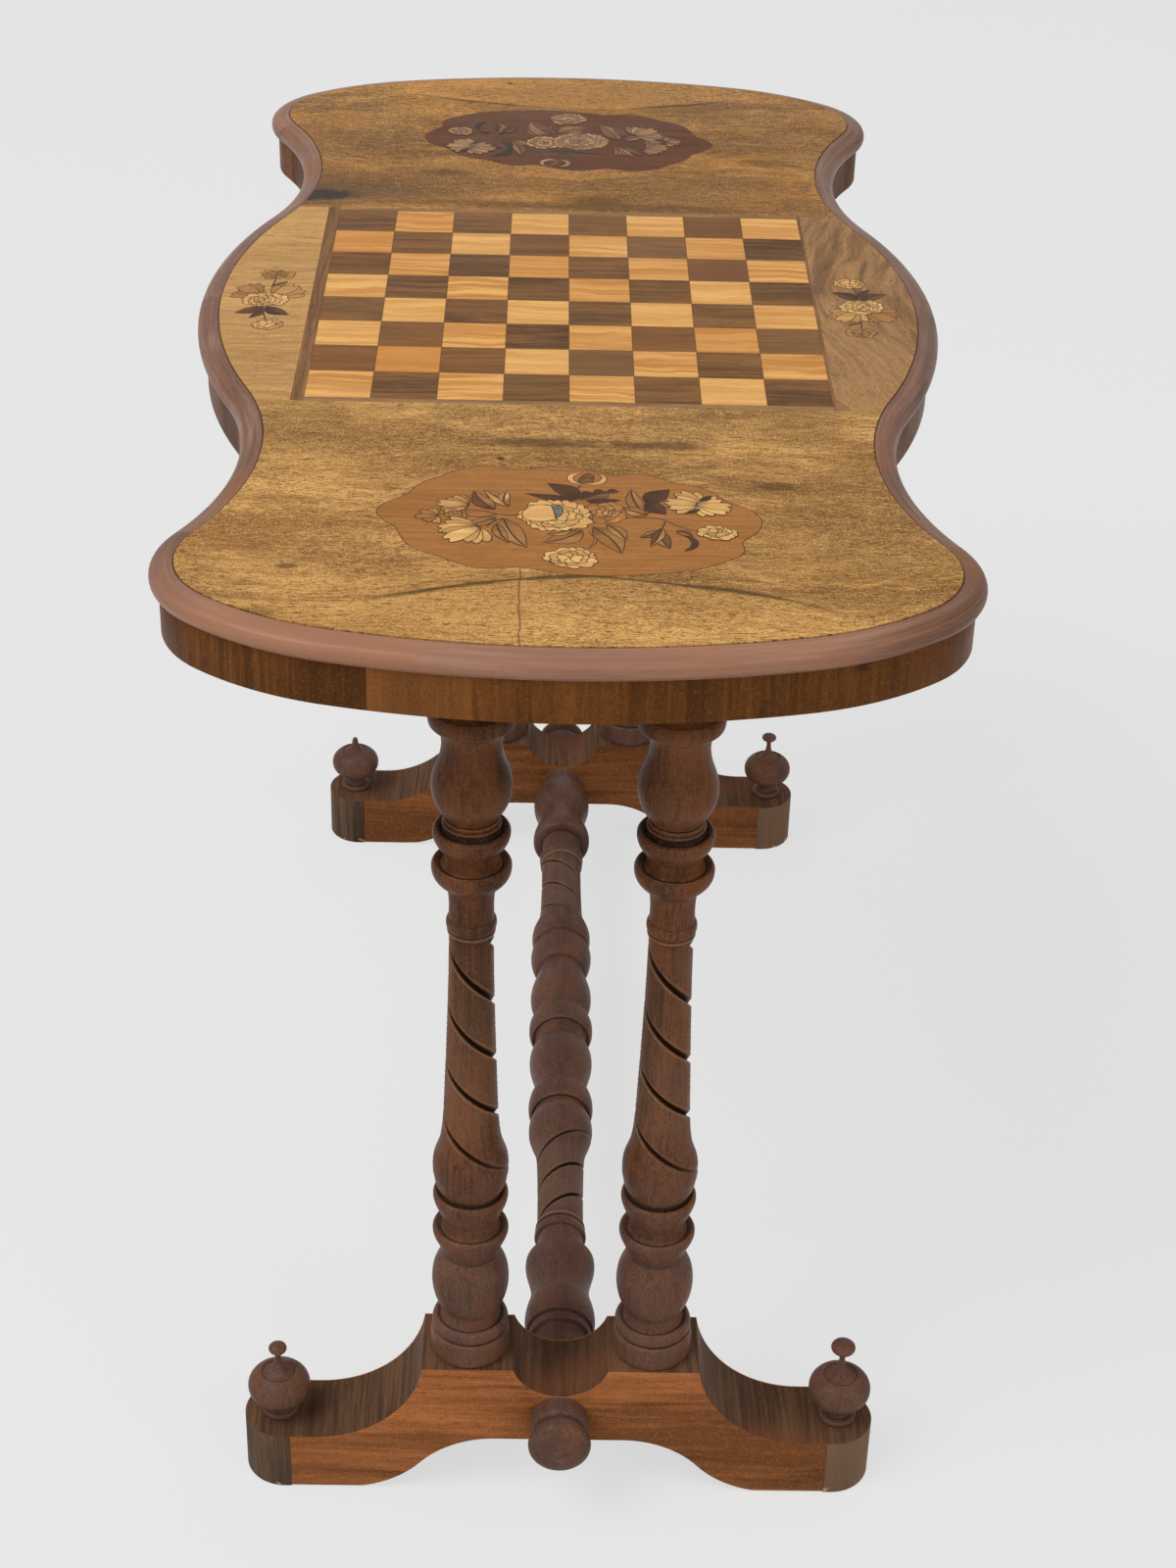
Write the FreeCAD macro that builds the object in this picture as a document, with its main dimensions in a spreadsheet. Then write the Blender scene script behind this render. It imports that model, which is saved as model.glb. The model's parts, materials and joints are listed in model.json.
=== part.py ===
"""A Victorian walnut games table on twin turned supports, joined by a turned stretcher.

The frame: X across the table, Y along it, Z up. The origin is on the floor, under the middle of the top.
Every sub-part is an object of one document, and its sizes come from the sheet "Sizes".
"""
import FreeCAD, Part
import math
import os
import types

import Sketcher

V = FreeCAD.Vector
UP = V(0, 0, 1)

# Driving dimensions in millimetres (angles in degrees): name, value, meaning.
SIZES = [
    ("table_height", 714.0, "floor to the veneered surface"),
    ("top_half_length", 505.0, "middle of the table to the end of the veneer"),
    ("end_radius", 566.0, "curve across each end"),
    ("end_share", 0.59, "how much of the corners' half width the end curve spans"),
    ("shoulder_radius", 180.0, "curve between the end and the corner"),
    ("lobe_half_width", 231.5, "half width at the corners"),
    ("lobe_share", 0.44, "end of the veneer to the corners' widest part, as a share of their half width"),
    ("waist_half_width", 194.0, "half width at the waists"),
    ("waist_station", 252.0, "where the waists are narrowest"),
    ("belly_half_width", 245.5, "half width in the middle"),
    ("belly_radius", 406.0, "curve of the middle"),
    ("board_thickness", 16.0, "ground board of the top"),
    ("veneer_thickness", 1.0, "saw-cut veneer"),
    ("veneer_lift", 1.0, "floor to the worn lower edge of a foot's veneer"),
    ("moulding_width", 15.0, "how far the edge moulding stands out"),
    ("moulding_step", 0.6, "how far the moulding starts below the veneer"),
    ("moulding_shoulder", 4.0, "fall of the moulding's sloping top"),
    ("moulding_nose", 9.0, "height of the round nose"),
    ("moulding_crown", 1.3, "how far the sloping top bows up"),
    ("moulding_round", 2.0, "how far the nose bows out"),
    ("frieze_inset", 5.5, "moulding's nose to the face of the frieze"),
    ("frieze_height", 28.0, "depth of the frieze under the top"),
    ("frieze_thickness", 21.0, "ground of the frieze, without its veneer"),
    ("square", 43.5, "side of a chess square"),
    ("end_border", 6.0, "string along the near and far edges of the board"),
    ("left_border", 8.7, "dark band left of the board"),
    ("right_border", 2.0, "dark line right of the board"),
    ("end_to_panel", 159.0, "end of the veneer to the middle of a marquetry panel"),
    ("panel_half_width", 111.0, "oval that a marquetry panel's cusps lie on, across the table"),
    ("panel_half_depth", 71.0, "the same oval, along the table"),
    ("panel_tip_turn", 24.0, "turn round the oval from its tip to the nearest cusp"),
    ("panel_tip_bow", 15.5, "how far the panel's two pointed ends bow out"),
    ("scallop_bow", 5.0, "how far each of its other scallops bows out"),
    ("end_to_support", 87.5, "end of the veneer to the middle of a foot"),
    ("base_offset", 6.5, "how far the base stands to the right of the middle of the top"),
    ("column_spread", 63.0, "middle of the foot to a column"),
    ("seat_height", 112.0, "floor to the seat of the columns"),
    ("foot_thickness", 57.0, "foot with its veneers"),
    ("foot_half_length", 221.5, "middle of the foot to its round end"),
    ("foot_end_height", 47.0, "foot at its ends"),
    ("face_veneer_reach", 188.0, "middle of the foot to the end of its face veneer"),
    ("finial_spread", 197.0, "middle of the foot to a finial"),
    ("block_half_width", 95.5, "middle of the foot to the outer corner of the seats"),
    ("scroll_reach", 170.5, "where the hollow scroll runs out"),
    ("scroll_hollow", 18.5, "depth of the hollow scroll"),
    ("notch_half_width", 32.5, "round notch between the seats"),
    ("notch_depth", 23.7, "round notch between the seats"),
    ("web_under_bore", 9.0, "wood between the arch and the stretcher's tenon"),
    ("arch_flat", 45.0, "half of the flat top of the arch"),
    ("arch_reach", 150.0, "where the arch meets the floor"),
    ("arch_bow", 6.3, "bow of each half of the arch's double curve"),
    ("seat_to_axis", 43.0, "seat of the columns down to the stretcher's axis"),
    ("bearer_depth", 47.0, "cross bearer under the top"),
    ("bearer_width", 60.0, "cross bearer, along the table"),
    ("bearer_half_length", 172.0, "cross bearer, across the table"),
    ("bearer_end_depth", 18.0, "cross bearer at its ends"),
    ("bearer_full", 104.0, "half of the bearer's full-depth part"),
    ("bearer_bow", 5.0, "bow of each half of the bearer's double curve"),
    ("tenon_radius", 11.0, "round tenons of the columns"),
    ("tenon_length", 24.0, "round tenons of the columns"),
    ("rail_tenon_radius", 12.0, "stretcher tenon through the foot"),
    ("boss_socket", 13.0, "depth of the socket in a boss"),
    ("dowel_radius", 4.0, "peg under a finial"),
    ("dowel_length", 14.0, "peg under a finial"),
    ("fit", 0.2, "clearance round a tenon or a peg"),
    ("column_lead", 90.0, "rise of one turn of a column's twist"),
    ("stretcher_lead", 72.0, "rise of one turn of the stretcher's twist"),
    ("twist_depth", 3.0, "depth of the twist's groove"),
    ("twist_half_width", 3.4, "half width of the twist's groove at the surface"),
    ("twist_runout", 7.0, "how far the groove runs past the twist at its thick end"),
]

# Turned work, listed along its axis: element, length, radius where it ends, bow of its outline.
# A length of 0 is a square step, and a length of None takes up what is left of the whole length.
COLUMN = [
    ("seat", 0, 27.0, 0), ("base", 17.5, 27.0, 0), ("base_quirk", 1.5, 24.2, 0),
    ("foot_ring", 6.0, 26.2, 0), ("foot_ring_fall", 10.0, 20.8, 0),
    ("ball", 49.0, 19.4, 6.4), ("low_ring", 33.0, 21.4, 5.0),
    ("middle_ring_rise", 8.0, 24.6, 0), ("middle_ring", 13.0, 24.9, 0), ("middle_ring_fall", 6.0, 22.7, 0),
    ("bulge_rise", 12.0, 24.9, 0), ("bulge_fall", 18.5, 22.2, 0), ("flare", 7.5, 20.3, 0),
    ("twist", None, 14.4, 0), ("bead_rise", 5.5, 15.8, 0), ("bead_fall", 7.5, 14.4, 0),
    ("neck", 20.5, 15.6, 0), ("under_ring", 6.0, 22.4, 0),
    ("high_ring_rise", 5.5, 24.6, 0), ("high_ring", 8.0, 24.6, 0), ("high_ring_fall", 7.0, 20.2, 0),
    ("top_ring_rise", 8.0, 24.0, 0), ("top_ring", 6.0, 23.6, 0), ("top_ring_fall", 8.0, 18.6, 0),
    ("vase_fillet", 4.5, 17.6, 0), ("vase", 39.0, 21.2, 5.6), ("vase_neck", 21.0, 19.9, 0),
    ("collar_flare", 6.0, 27.0, 0), ("collar", 7.5, 27.0, 0), ("cap_cove", 7.5, 20.5, 0),
    ("cap", 20.5, 24.5, 0),
]
STRETCHER_HALF = [
    ("middle", 0, 26.1, 0), ("middle_ring", 8.0, 25.6, 0), ("middle_fall", 12.0, 21.4, 0),
    ("ball", 64.0, 19.6, 4.8), ("ring", 38.5, 23.8, 3.3), ("shoulder", 34.5, 20.6, 2.6),
    ("flare", 10.0, 18.8, 0), ("twist", None, 17.2, 0), ("bead_rise", 9.0, 18.8, 0),
    ("bead_fall", 9.5, 16.9, 0), ("neck", 18.5, 17.0, 0),
    ("bulb", 47.0, 22.2, 5.3), ("end_bulb", 54.5, 18.4, 4.9), ("collar", 6.0, 17.6, 0),
]
FINIAL = [
    ("foot", 0, 12.4, 0), ("ring", 4.5, 12.4, 0), ("ring_fall", 1.5, 8.6, 0), ("neck", 4.0, 7.8, 0),
    ("bowl", 19.0, 21.7, 3.2), ("rim", 4.0, 20.4, 0), ("shoulder", 8.5, 10.5, 0), ("cone", 10.5, 2.6, 0),
]
FINIAL_KNOB = [
    ("stem", 4.0, 2.6, 0), ("knob_rise", 3.5, 6.4, 0), ("knob_waist", 4.0, 6.4, 0),
    ("knob_fall", 3.5, 2.4, 0), ("knob_top", 0, 0, 0),
]
FINIAL_STUMP = [("stump", 3.0, 0, 0)]
BOSS = [
    ("back", 0, 19.4, 0), ("ring", 12.0, 20.3, 0), ("ring_fall", 5.0, 17.8, 0),
    ("cushion_rise", 5.0, 20.8, 0), ("cushion", 5.0, 21.6, 0), ("front", 7.0, 15.0, 0), ("cone", 5.0, 0, 0),
]
TURNINGS = [
    ("column", COLUMN), ("stretcher", STRETCHER_HALF), ("finial", FINIAL + FINIAL_KNOB + FINIAL_STUMP),
    ("boss", BOSS),
]


class Size:
    """A length with the sheet expression that it comes from."""

    def __init__(self, value, text):
        self.value = float(value)
        self.text = text

    def __add__(self, other):
        other = as_size(other)
        return Size(self.value + other.value, f"({self.text} + {other.text})")

    def __sub__(self, other):
        other = as_size(other)
        return Size(self.value - other.value, f"({self.text} - {other.text})")

    def __mul__(self, other):
        other = as_size(other)
        return Size(self.value * other.value, f"({self.text} * {other.text})")

    def __truediv__(self, other):
        other = as_size(other)
        return Size(self.value / other.value, f"({self.text} / {other.text})")

    def __neg__(self):
        return Size(-self.value, f"(-{self.text})")

    def __float__(self):
        return self.value


def as_size(number):
    return number if isinstance(number, Size) else Size(number, repr(float(number)))


def turning_sizes():
    """The sheet rows of every turned element that is not square or left over."""
    rows = []
    for work, elements in TURNINGS:
        for element, length, radius, bow in elements:
            stem = f"{work}_{element}"
            if length:
                rows.append((f"{stem}_length", length, "length of the turned element"))
            if radius:
                rows.append((f"{stem}_radius", radius, "radius where the turned element ends"))
            if bow:
                rows.append((f"{stem}_bow", bow, "bow of its outline"))
    return rows


def make_sheet(doc):
    """Writes the sheet, and returns its sizes by name."""
    sheet = doc.addObject("Spreadsheet::Sheet", "Sizes")
    sizes = {}
    for row, (name, value, note) in enumerate(SIZES + turning_sizes(), start=1):
        sheet.set(f"A{row}", name)
        sheet.set(f"B{row}", str(value))
        sheet.set(f"C{row}", note)
        sheet.setAlias(f"B{row}", name)
        sizes[name] = Size(value, f"Sizes.{name}")
    doc.recompute()
    return types.SimpleNamespace(**sizes)


doc = FreeCAD.newDocument("games_table")
S = make_sheet(doc)
sub_parts = []

# Levels and places that several pieces share.
TOP_UNDERSIDE = S.table_height - S.veneer_thickness - S.board_thickness
BEARER_UNDERSIDE = TOP_UNDERSIDE - S.bearer_depth
COLUMN_HEIGHT = BEARER_UNDERSIDE - S.seat_height
SUPPORT_STATION = S.top_half_length - S.end_to_support
FOOT_INNER_FACE = SUPPORT_STATION - S.foot_thickness / 2
STRETCHER_HEIGHT = S.seat_height - S.seat_to_axis
ARCH_HEIGHT = STRETCHER_HEIGHT - S.rail_tenon_radius - S.web_under_bore
BOARD_HALF = S.square * 4
FIELD_EDGE = BOARD_HALF + S.end_border
CLEAR = 20.0  # how far a cutting outline runs past the wood that it removes


def keep(item, label):
    """Names a finished sub-part, so that it gets a file of its own."""
    item.Label = label
    sub_parts.append(item)
    return item


def bind(item, path, size):
    item.setExpression(path, as_size(size).text)


def place(item, x=0, y=0, z=0, axis=UP, angle=0):
    """Turns a sub-part and puts it at a place whose coordinates stay bound to the sheet."""
    x, y, z = as_size(x), as_size(y), as_size(z)
    item.Placement = FreeCAD.Placement(V(float(x), float(y), float(z)), FreeCAD.Rotation(axis, angle))
    for letter, size in (("x", x), ("y", y), ("z", z)):
        bind(item, f".Placement.Base.{letter}", size)
    return item


# ---------------------------------------------------------------- sketches

def origin_plane(body, role):
    return next(plane for plane in body.Origin.OriginFeatures if plane.Role == role)


def new_sketch(body, name, role):
    sketch = body.newObject("Sketcher::SketchObject", name)
    sketch.AttachmentSupport = [(origin_plane(body, role), "")]
    sketch.MapMode = "FlatFace"
    return sketch


def lift_sketch(sketch, level):
    """Moves a sketch on the body's floor plane up to a level."""
    sketch.AttachmentOffset = FreeCAD.Placement(V(0, 0, float(level)), FreeCAD.Rotation())
    bind(sketch, ".AttachmentOffset.Base.z", level)


def hold(sketch, size, kind, *where):
    """Adds a dimension that follows the sheet."""
    index = sketch.addConstraint(Sketcher.Constraint(kind, *where, float(size)))
    name = f"d{index}"
    sketch.renameConstraint(index, name)
    sketch.setExpression(f"Constraints.{name}", as_size(size).text)


def add_run(sketch, start, end, bow):
    """A line, or an arc that bows to the right of its direction, with the numbers of its two ends."""
    a, b = V(*map(float, start), 0), V(*map(float, end), 0)
    bow = float(bow)
    if not bow:
        return sketch.addGeometry(Part.LineSegment(a, b)), 1, 2
    along = (b - a).normalize()
    middle = (a + b) / 2 + V(along.y, -along.x, 0) * bow
    index = sketch.addGeometry(Part.ArcOfCircle(a, middle, b))
    return (index, 1, 2) if bow > 0 else (index, 2, 1)


def arc_radius(across, along, bow):
    """The radius of an arc whose ends lie so far apart, and whose middle stands off its chord by bow."""
    bow = bow if float(bow) > 0 else -bow
    return (across * across + along * along) / (bow * 8) + bow / 2


def is_half_round(bow, start, end):
    chord = math.dist([float(number) for number in start], [float(number) for number in end])
    return math.isclose(abs(float(bow)) * 2, chord)


def draw_loop(sketch, corners):
    """Closes a loop through corners (x, y, bow of the run that starts there), each held by its distances."""
    corners = [tuple(as_size(number) for number in corner) for corner in corners]
    runs = []
    for corner, following in zip(corners, corners[1:] + corners[:1]):
        runs.append(add_run(sketch, corner[:2], following[:2], corner[2]))
    for (index, _, tail), (following, head, _) in zip(runs, runs[1:] + runs[:1]):
        sketch.addConstraint(Sketcher.Constraint("Coincident", index, tail, following, head))
    for place_number, (index, head, _) in enumerate(runs):
        x, y, bow = corners[place_number]
        following = corners[(place_number + 1) % len(corners)]
        for size, kind, axis in ((x, "DistanceX", -2), (y, "DistanceY", -1)):
            if float(size):
                hold(sketch, size, kind, -1, 1, index, head)
            else:
                sketch.addConstraint(Sketcher.Constraint("PointOnObject", index, head, axis))
        if float(bow) and is_half_round(bow, (x, y), following[:2]):
            sketch.addConstraint(Sketcher.Constraint("Symmetric", index, 1, index, 2, index, 3))
        elif float(bow):
            hold(sketch, arc_radius(following[0] - x, following[1] - y, bow), "Radius", index)


def turned_size(work, element, what):
    return getattr(S, f"{work}_{element}_{what}", as_size(0))


def turned_profile(sketch, work, elements, whole=None):
    """Draws half of a turned outline up the sketch's vertical axis, which it starts on and ends on."""
    levels, radii, runs = [0.0], [0.0], []
    left_over = None
    if whole is not None:
        left_over = float(whole) - sum(length or 0 for _, length, _, _ in elements)
    for element, length, _, _ in elements:
        levels.append(levels[-1] + (left_over if length is None else length))
        radii.append(float(turned_size(work, element, "radius")))
    for number, (element, length, _, _) in enumerate(elements):
        start, end = (radii[number], levels[number]), (radii[number + 1], levels[number + 1])
        runs.append(add_run(sketch, start, end, turned_size(work, element, "bow")))
    for (index, _, tail), (following, head, _) in zip(runs, runs[1:]):
        sketch.addConstraint(Sketcher.Constraint("Coincident", index, tail, following, head))
    sketch.addConstraint(Sketcher.Constraint("Coincident", runs[0][0], runs[0][1], -1, 1))
    earlier = as_size(0)
    for (element, length, _, _), (index, head, tail) in zip(elements, runs):
        radius, bow = turned_size(work, element, "radius"), turned_size(work, element, "bow")
        if float(radius):
            hold(sketch, radius, "DistanceX", -1, 1, index, tail)
        else:
            sketch.addConstraint(Sketcher.Constraint("PointOnObject", index, tail, -2))
        if length == 0:
            sketch.addConstraint(Sketcher.Constraint("Horizontal", index))
        elif length is not None:
            hold(sketch, turned_size(work, element, "length"), "DistanceY", index, head, index, tail)
        if float(bow):
            long = turned_size(work, element, "length")
            hold(sketch, arc_radius(radius - earlier, long, bow), "Radius", index)
        earlier = radius
    last, _, tail = runs[-1]
    if whole is not None:
        hold(sketch, whole, "DistanceY", -1, 1, last, tail)
    if radii[-1]:
        lid = sketch.addGeometry(Part.LineSegment(V(radii[-1], levels[-1], 0), V(0, levels[-1], 0)))
        sketch.addConstraint(Sketcher.Constraint("Coincident", last, tail, lid, 1))
        sketch.addConstraint(Sketcher.Constraint("Horizontal", lid))
        sketch.addConstraint(Sketcher.Constraint("PointOnObject", lid, 2, -2))
        last, tail = lid, 2
    spine = sketch.addGeometry(Part.LineSegment(V(0, levels[-1], 0), V(0, 0, 0)))
    sketch.addConstraint(Sketcher.Constraint("Coincident", last, tail, spine, 1))
    sketch.addConstraint(Sketcher.Constraint("Coincident", spine, 2, -1, 1))


def length_of(work, elements, first, last):
    """The summed length of the turned elements from first up to, and not with, last."""
    names = [element for element, _, _, _ in elements]
    total = as_size(0)
    for name in names[names.index(first):names.index(last)]:
        total = total + turned_size(work, name, "length")
    return total


# ---------------------------------------------------------------- turned pieces

def add_revolution(body, sketch):
    turned = body.newObject("PartDesign::Revolution", "turned")
    turned.Profile = sketch
    turned.ReferenceAxis = (sketch, ["V_Axis"])
    turned.Angle = 360
    return turned


def add_peg(body, name, radius, length, level, upwards):
    """A round tenon that stands on the body's level, up or down."""
    sketch = new_sketch(body, f"{name}_outline", "XY_Plane")
    lift_sketch(sketch, level)
    sketch.addGeometry(Part.Circle(V(0, 0, 0), UP, float(radius)))
    sketch.addConstraint(Sketcher.Constraint("Coincident", 0, 3, -1, 1))
    hold(sketch, radius, "Radius", 0)
    peg = body.newObject("PartDesign::Pad", name)
    peg.Profile = sketch
    peg.Reversed = not upwards
    bind(peg, "Length", length)
    return peg


def twist_grooves(work, elements, whole):
    """The waste of a two-start twist: a V carried twice round the tapered shaft, half a turn apart."""
    names = [element for element, _, _, _ in elements]
    start = length_of(work, elements, names[0], "twist")
    after = length_of(work, elements, "twist", names[-1]) + turned_size(work, names[-1], "length")
    twist_length = whole - start - after
    thick = turned_size(work, names[names.index("twist") - 1], "radius")
    thin = turned_size(work, "twist", "radius")
    path = doc.addObject("Part::Helix", f"{work}_groove_path")
    path.LocalCoord = "Left-handed"
    bind(path, "Pitch", getattr(S, f"{work}_lead"))
    bind(path, "Height", twist_length + S.twist_runout - S.twist_half_width)
    bind(path, "Radius", thick)
    path.setExpression("Angle", f"-atan({((thick - thin) / twist_length).text})")
    vee = doc.addObject("Sketcher::SketchObject", f"{work}_groove_section")
    vee.Placement = FreeCAD.Placement(V(0, 0, 0), FreeCAD.Rotation(V(1, 0, 0), 90))
    outside, spread = thick + S.twist_depth, S.twist_half_width * 2
    draw_loop(vee, [(thick - S.twist_depth, 0, 0), (outside, -spread, 0), (outside, spread, 0)])
    grooves = []
    for turn in (0, 180):
        groove = doc.addObject("Part::Sweep", f"{work}_groove")
        groove.Sections = [vee]
        groove.Spine = (path, ["Edge1"])
        groove.Solid = True
        groove.Frenet = True
        grooves.append(place(groove, 0, 0, start - S.twist_runout, UP, turn))
    return grooves


def cut_away(blank, waste, label):
    """A sub-part that is a turned blank less the waste of its twist."""
    tool = doc.addObject("Part::MultiFuse", f"{label}_waste")
    tool.Shapes = waste
    cut = doc.addObject("Part::Cut", label)
    cut.Base, cut.Tool = blank, tool
    return cut


def make_column(label, x_side, y_side):
    blank = doc.addObject("PartDesign::Body", f"{label}_blank")
    sketch = new_sketch(blank, "profile", "XZ_Plane")
    turned_profile(sketch, "column", COLUMN, COLUMN_HEIGHT)
    add_revolution(blank, sketch)
    add_peg(blank, "lower_tenon", S.tenon_radius, S.tenon_length, as_size(0), upwards=False)
    add_peg(blank, "upper_tenon", S.tenon_radius, S.tenon_length, COLUMN_HEIGHT, upwards=True)
    column = cut_away(blank, twist_grooves("column", COLUMN, COLUMN_HEIGHT), label)
    place(column, S.base_offset + S.column_spread * x_side, SUPPORT_STATION * y_side, S.seat_height)
    return keep(column, label)


def make_stretcher():
    """Half of it is turned outwards from the middle, and the other half mirrors it, twist and all."""
    blank = doc.addObject("PartDesign::Body", "stretcher_blank")
    sketch = new_sketch(blank, "profile", "XZ_Plane")
    turned_profile(sketch, "stretcher", STRETCHER_HALF, FOOT_INNER_FACE)
    turned = add_revolution(blank, sketch)
    tenon_length = S.foot_thickness + S.boss_socket - S.fit
    tenon = add_peg(blank, "tenon", S.rail_tenon_radius, tenon_length, FOOT_INNER_FACE, upwards=True)
    mirror = blank.newObject("PartDesign::Mirrored", "other_half")
    mirror.Originals = [turned, tenon]
    mirror.MirrorPlane = (origin_plane(blank, "XY_Plane"), [""])
    blank.Tip = mirror
    grooves = twist_grooves("stretcher", STRETCHER_HALF, FOOT_INNER_FACE)
    for groove in list(grooves):
        mirrored = doc.addObject("Part::Mirroring", "mirrored_groove")
        mirrored.Source = groove
        mirrored.Normal = UP
        grooves.append(mirrored)
    stretcher = cut_away(blank, grooves, "stretcher")
    place(stretcher, S.base_offset, 0, STRETCHER_HEIGHT, V(1, 0, 0), -90)
    return keep(stretcher, "stretcher")


def make_finial(label, x_side, y_side, broken):
    """One finial has lost its knob, and ends in the stump of its stem."""
    body = doc.addObject("PartDesign::Body", label)
    sketch = new_sketch(body, "profile", "XZ_Plane")
    turned_profile(sketch, "finial", FINIAL + (FINIAL_STUMP if broken else FINIAL_KNOB))
    add_revolution(body, sketch)
    add_peg(body, "peg", S.dowel_radius, S.dowel_length, as_size(0), upwards=False)
    place(body, S.base_offset + S.finial_spread * x_side, SUPPORT_STATION * y_side, S.foot_end_height)
    return keep(body, label)


def make_boss(label, y_side):
    """The turned knob that covers the stretcher's tenon on the outer face of a foot."""
    body = doc.addObject("PartDesign::Body", label)
    sketch = new_sketch(body, "profile", "XZ_Plane")
    turned_profile(sketch, "boss", BOSS)
    add_revolution(body, sketch)
    add_round_hole(body, "socket", 0, 0, S.rail_tenon_radius + S.fit, as_size(0),
                   S.boss_socket, downwards=False)
    outer_face = SUPPORT_STATION + S.foot_thickness / 2
    place(body, S.base_offset, outer_face * y_side, STRETCHER_HEIGHT, V(1, 0, 0), -90 * y_side)
    return keep(body, label)


def add_round_hole(body, name, x, y, radius, level, depth, downwards):
    """A blind hole along the body's own Z, from level, down or up."""
    sketch = new_sketch(body, f"{name}_outline", "XY_Plane")
    lift_sketch(sketch, level)
    x, y = as_size(x), as_size(y)
    sketch.addGeometry(Part.Circle(V(float(x), float(y), 0), UP, float(radius)))
    for size, kind, axis in ((x, "DistanceX", -2), (y, "DistanceY", -1)):
        if float(size):
            hold(sketch, size, kind, -1, 1, 0, 3)
        else:
            sketch.addConstraint(Sketcher.Constraint("PointOnObject", 0, 3, axis))
    hold(sketch, radius, "Radius", 0)
    hole = body.newObject("PartDesign::Pocket", name)
    hole.Profile = sketch
    hole.Reversed = not downwards
    bind(hole, "Length", depth)
    return hole


# ---------------------------------------------------------------- feet

def foot_waste(body):
    """Saws the side outline: the scrolls at both ends, the notch between the seats, and the arch below."""
    over = S.seat_height + CLEAR
    beyond = S.foot_half_length + CLEAR
    scroll = new_sketch(body, "scroll_outline", "XZ_Plane")
    draw_loop(scroll, [
        (S.block_half_width, S.seat_height, S.scroll_hollow),
        (S.scroll_reach, S.foot_end_height, 0),
        (beyond, S.foot_end_height, 0),
        (beyond, over, 0),
        (S.block_half_width, over, 0),
    ])
    scroll_cut = through_cut(body, scroll, "scroll")
    mirrored = body.newObject("PartDesign::Mirrored", "other_scroll")
    mirrored.Originals = [scroll_cut]
    mirrored.MirrorPlane = (origin_plane(body, "YZ_Plane"), [""])
    body.Tip = mirrored
    notch = new_sketch(body, "notch_outline", "XZ_Plane")
    draw_loop(notch, [
        (-S.notch_half_width, S.seat_height, S.notch_depth),
        (S.notch_half_width, S.seat_height, 0),
        (S.notch_half_width, over, 0),
        (-S.notch_half_width, over, 0),
    ])
    through_cut(body, notch, "notch")
    arch = new_sketch(body, "arch_outline", "XZ_Plane")
    halfway = (S.arch_flat + S.arch_reach) / 2
    draw_loop(arch, [
        (S.arch_reach, 0, -S.arch_bow),
        (halfway, ARCH_HEIGHT / 2, S.arch_bow),
        (S.arch_flat, ARCH_HEIGHT, 0),
        (-S.arch_flat, ARCH_HEIGHT, S.arch_bow),
        (-halfway, ARCH_HEIGHT / 2, -S.arch_bow),
        (-S.arch_reach, 0, 0),
        (-S.arch_reach, -CLEAR, 0),
        (S.arch_reach, -CLEAR, 0),
    ])
    through_cut(body, arch, "arch")


def through_cut(body, sketch, name):
    cut = body.newObject("PartDesign::Pocket", name)
    cut.Profile = sketch
    cut.Type = "ThroughAll"
    cut.Midplane = True
    return cut


def make_foot(label, y_side):
    """A thick plank with round ends, rebated on both faces for their veneer."""
    body = doc.addObject("PartDesign::Body", label)
    plan = new_sketch(body, "plan", "XY_Plane")
    half, core = S.foot_thickness / 2, S.foot_thickness / 2 - S.veneer_thickness
    reach, end = S.face_veneer_reach, S.foot_half_length - half
    draw_loop(plan, [
        (-reach, -core, 0), (reach, -core, 0), (reach, -half, 0), (end, -half, half),
        (end, half, 0), (reach, half, 0), (reach, core, 0), (-reach, core, 0),
        (-reach, half, 0), (-end, half, half), (-end, -half, 0), (-reach, -half, 0),
    ])
    blank = body.newObject("PartDesign::Pad", "blank")
    blank.Profile = plan
    bind(blank, "Length", S.seat_height)
    foot_waste(body)
    tenon_hole = S.tenon_radius + S.fit
    for name, side in (("left_mortise", -1), ("right_mortise", 1)):
        add_round_hole(body, name, S.column_spread * side, 0, tenon_hole, S.seat_height,
                       S.tenon_length + S.fit, downwards=True)
    for name, side in (("left_peg_hole", -1), ("right_peg_hole", 1)):
        add_round_hole(body, name, S.finial_spread * side, 0, S.dowel_radius + S.fit, S.foot_end_height,
                       S.dowel_length + S.fit, downwards=True)
    bore_for_stretcher(body)
    place(body, S.base_offset, SUPPORT_STATION * y_side, 0)
    return keep(body, label)


def bore_for_stretcher(body):
    sketch = new_sketch(body, "bore_outline", "XZ_Plane")
    sketch.addGeometry(Part.Circle(V(0, float(STRETCHER_HEIGHT), 0), UP, float(S.rail_tenon_radius)))
    sketch.addConstraint(Sketcher.Constraint("PointOnObject", 0, 3, -2))
    hold(sketch, STRETCHER_HEIGHT, "DistanceY", -1, 1, 0, 3)
    hold(sketch, S.rail_tenon_radius + S.fit, "Radius", 0)
    return through_cut(body, sketch, "bore")


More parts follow.
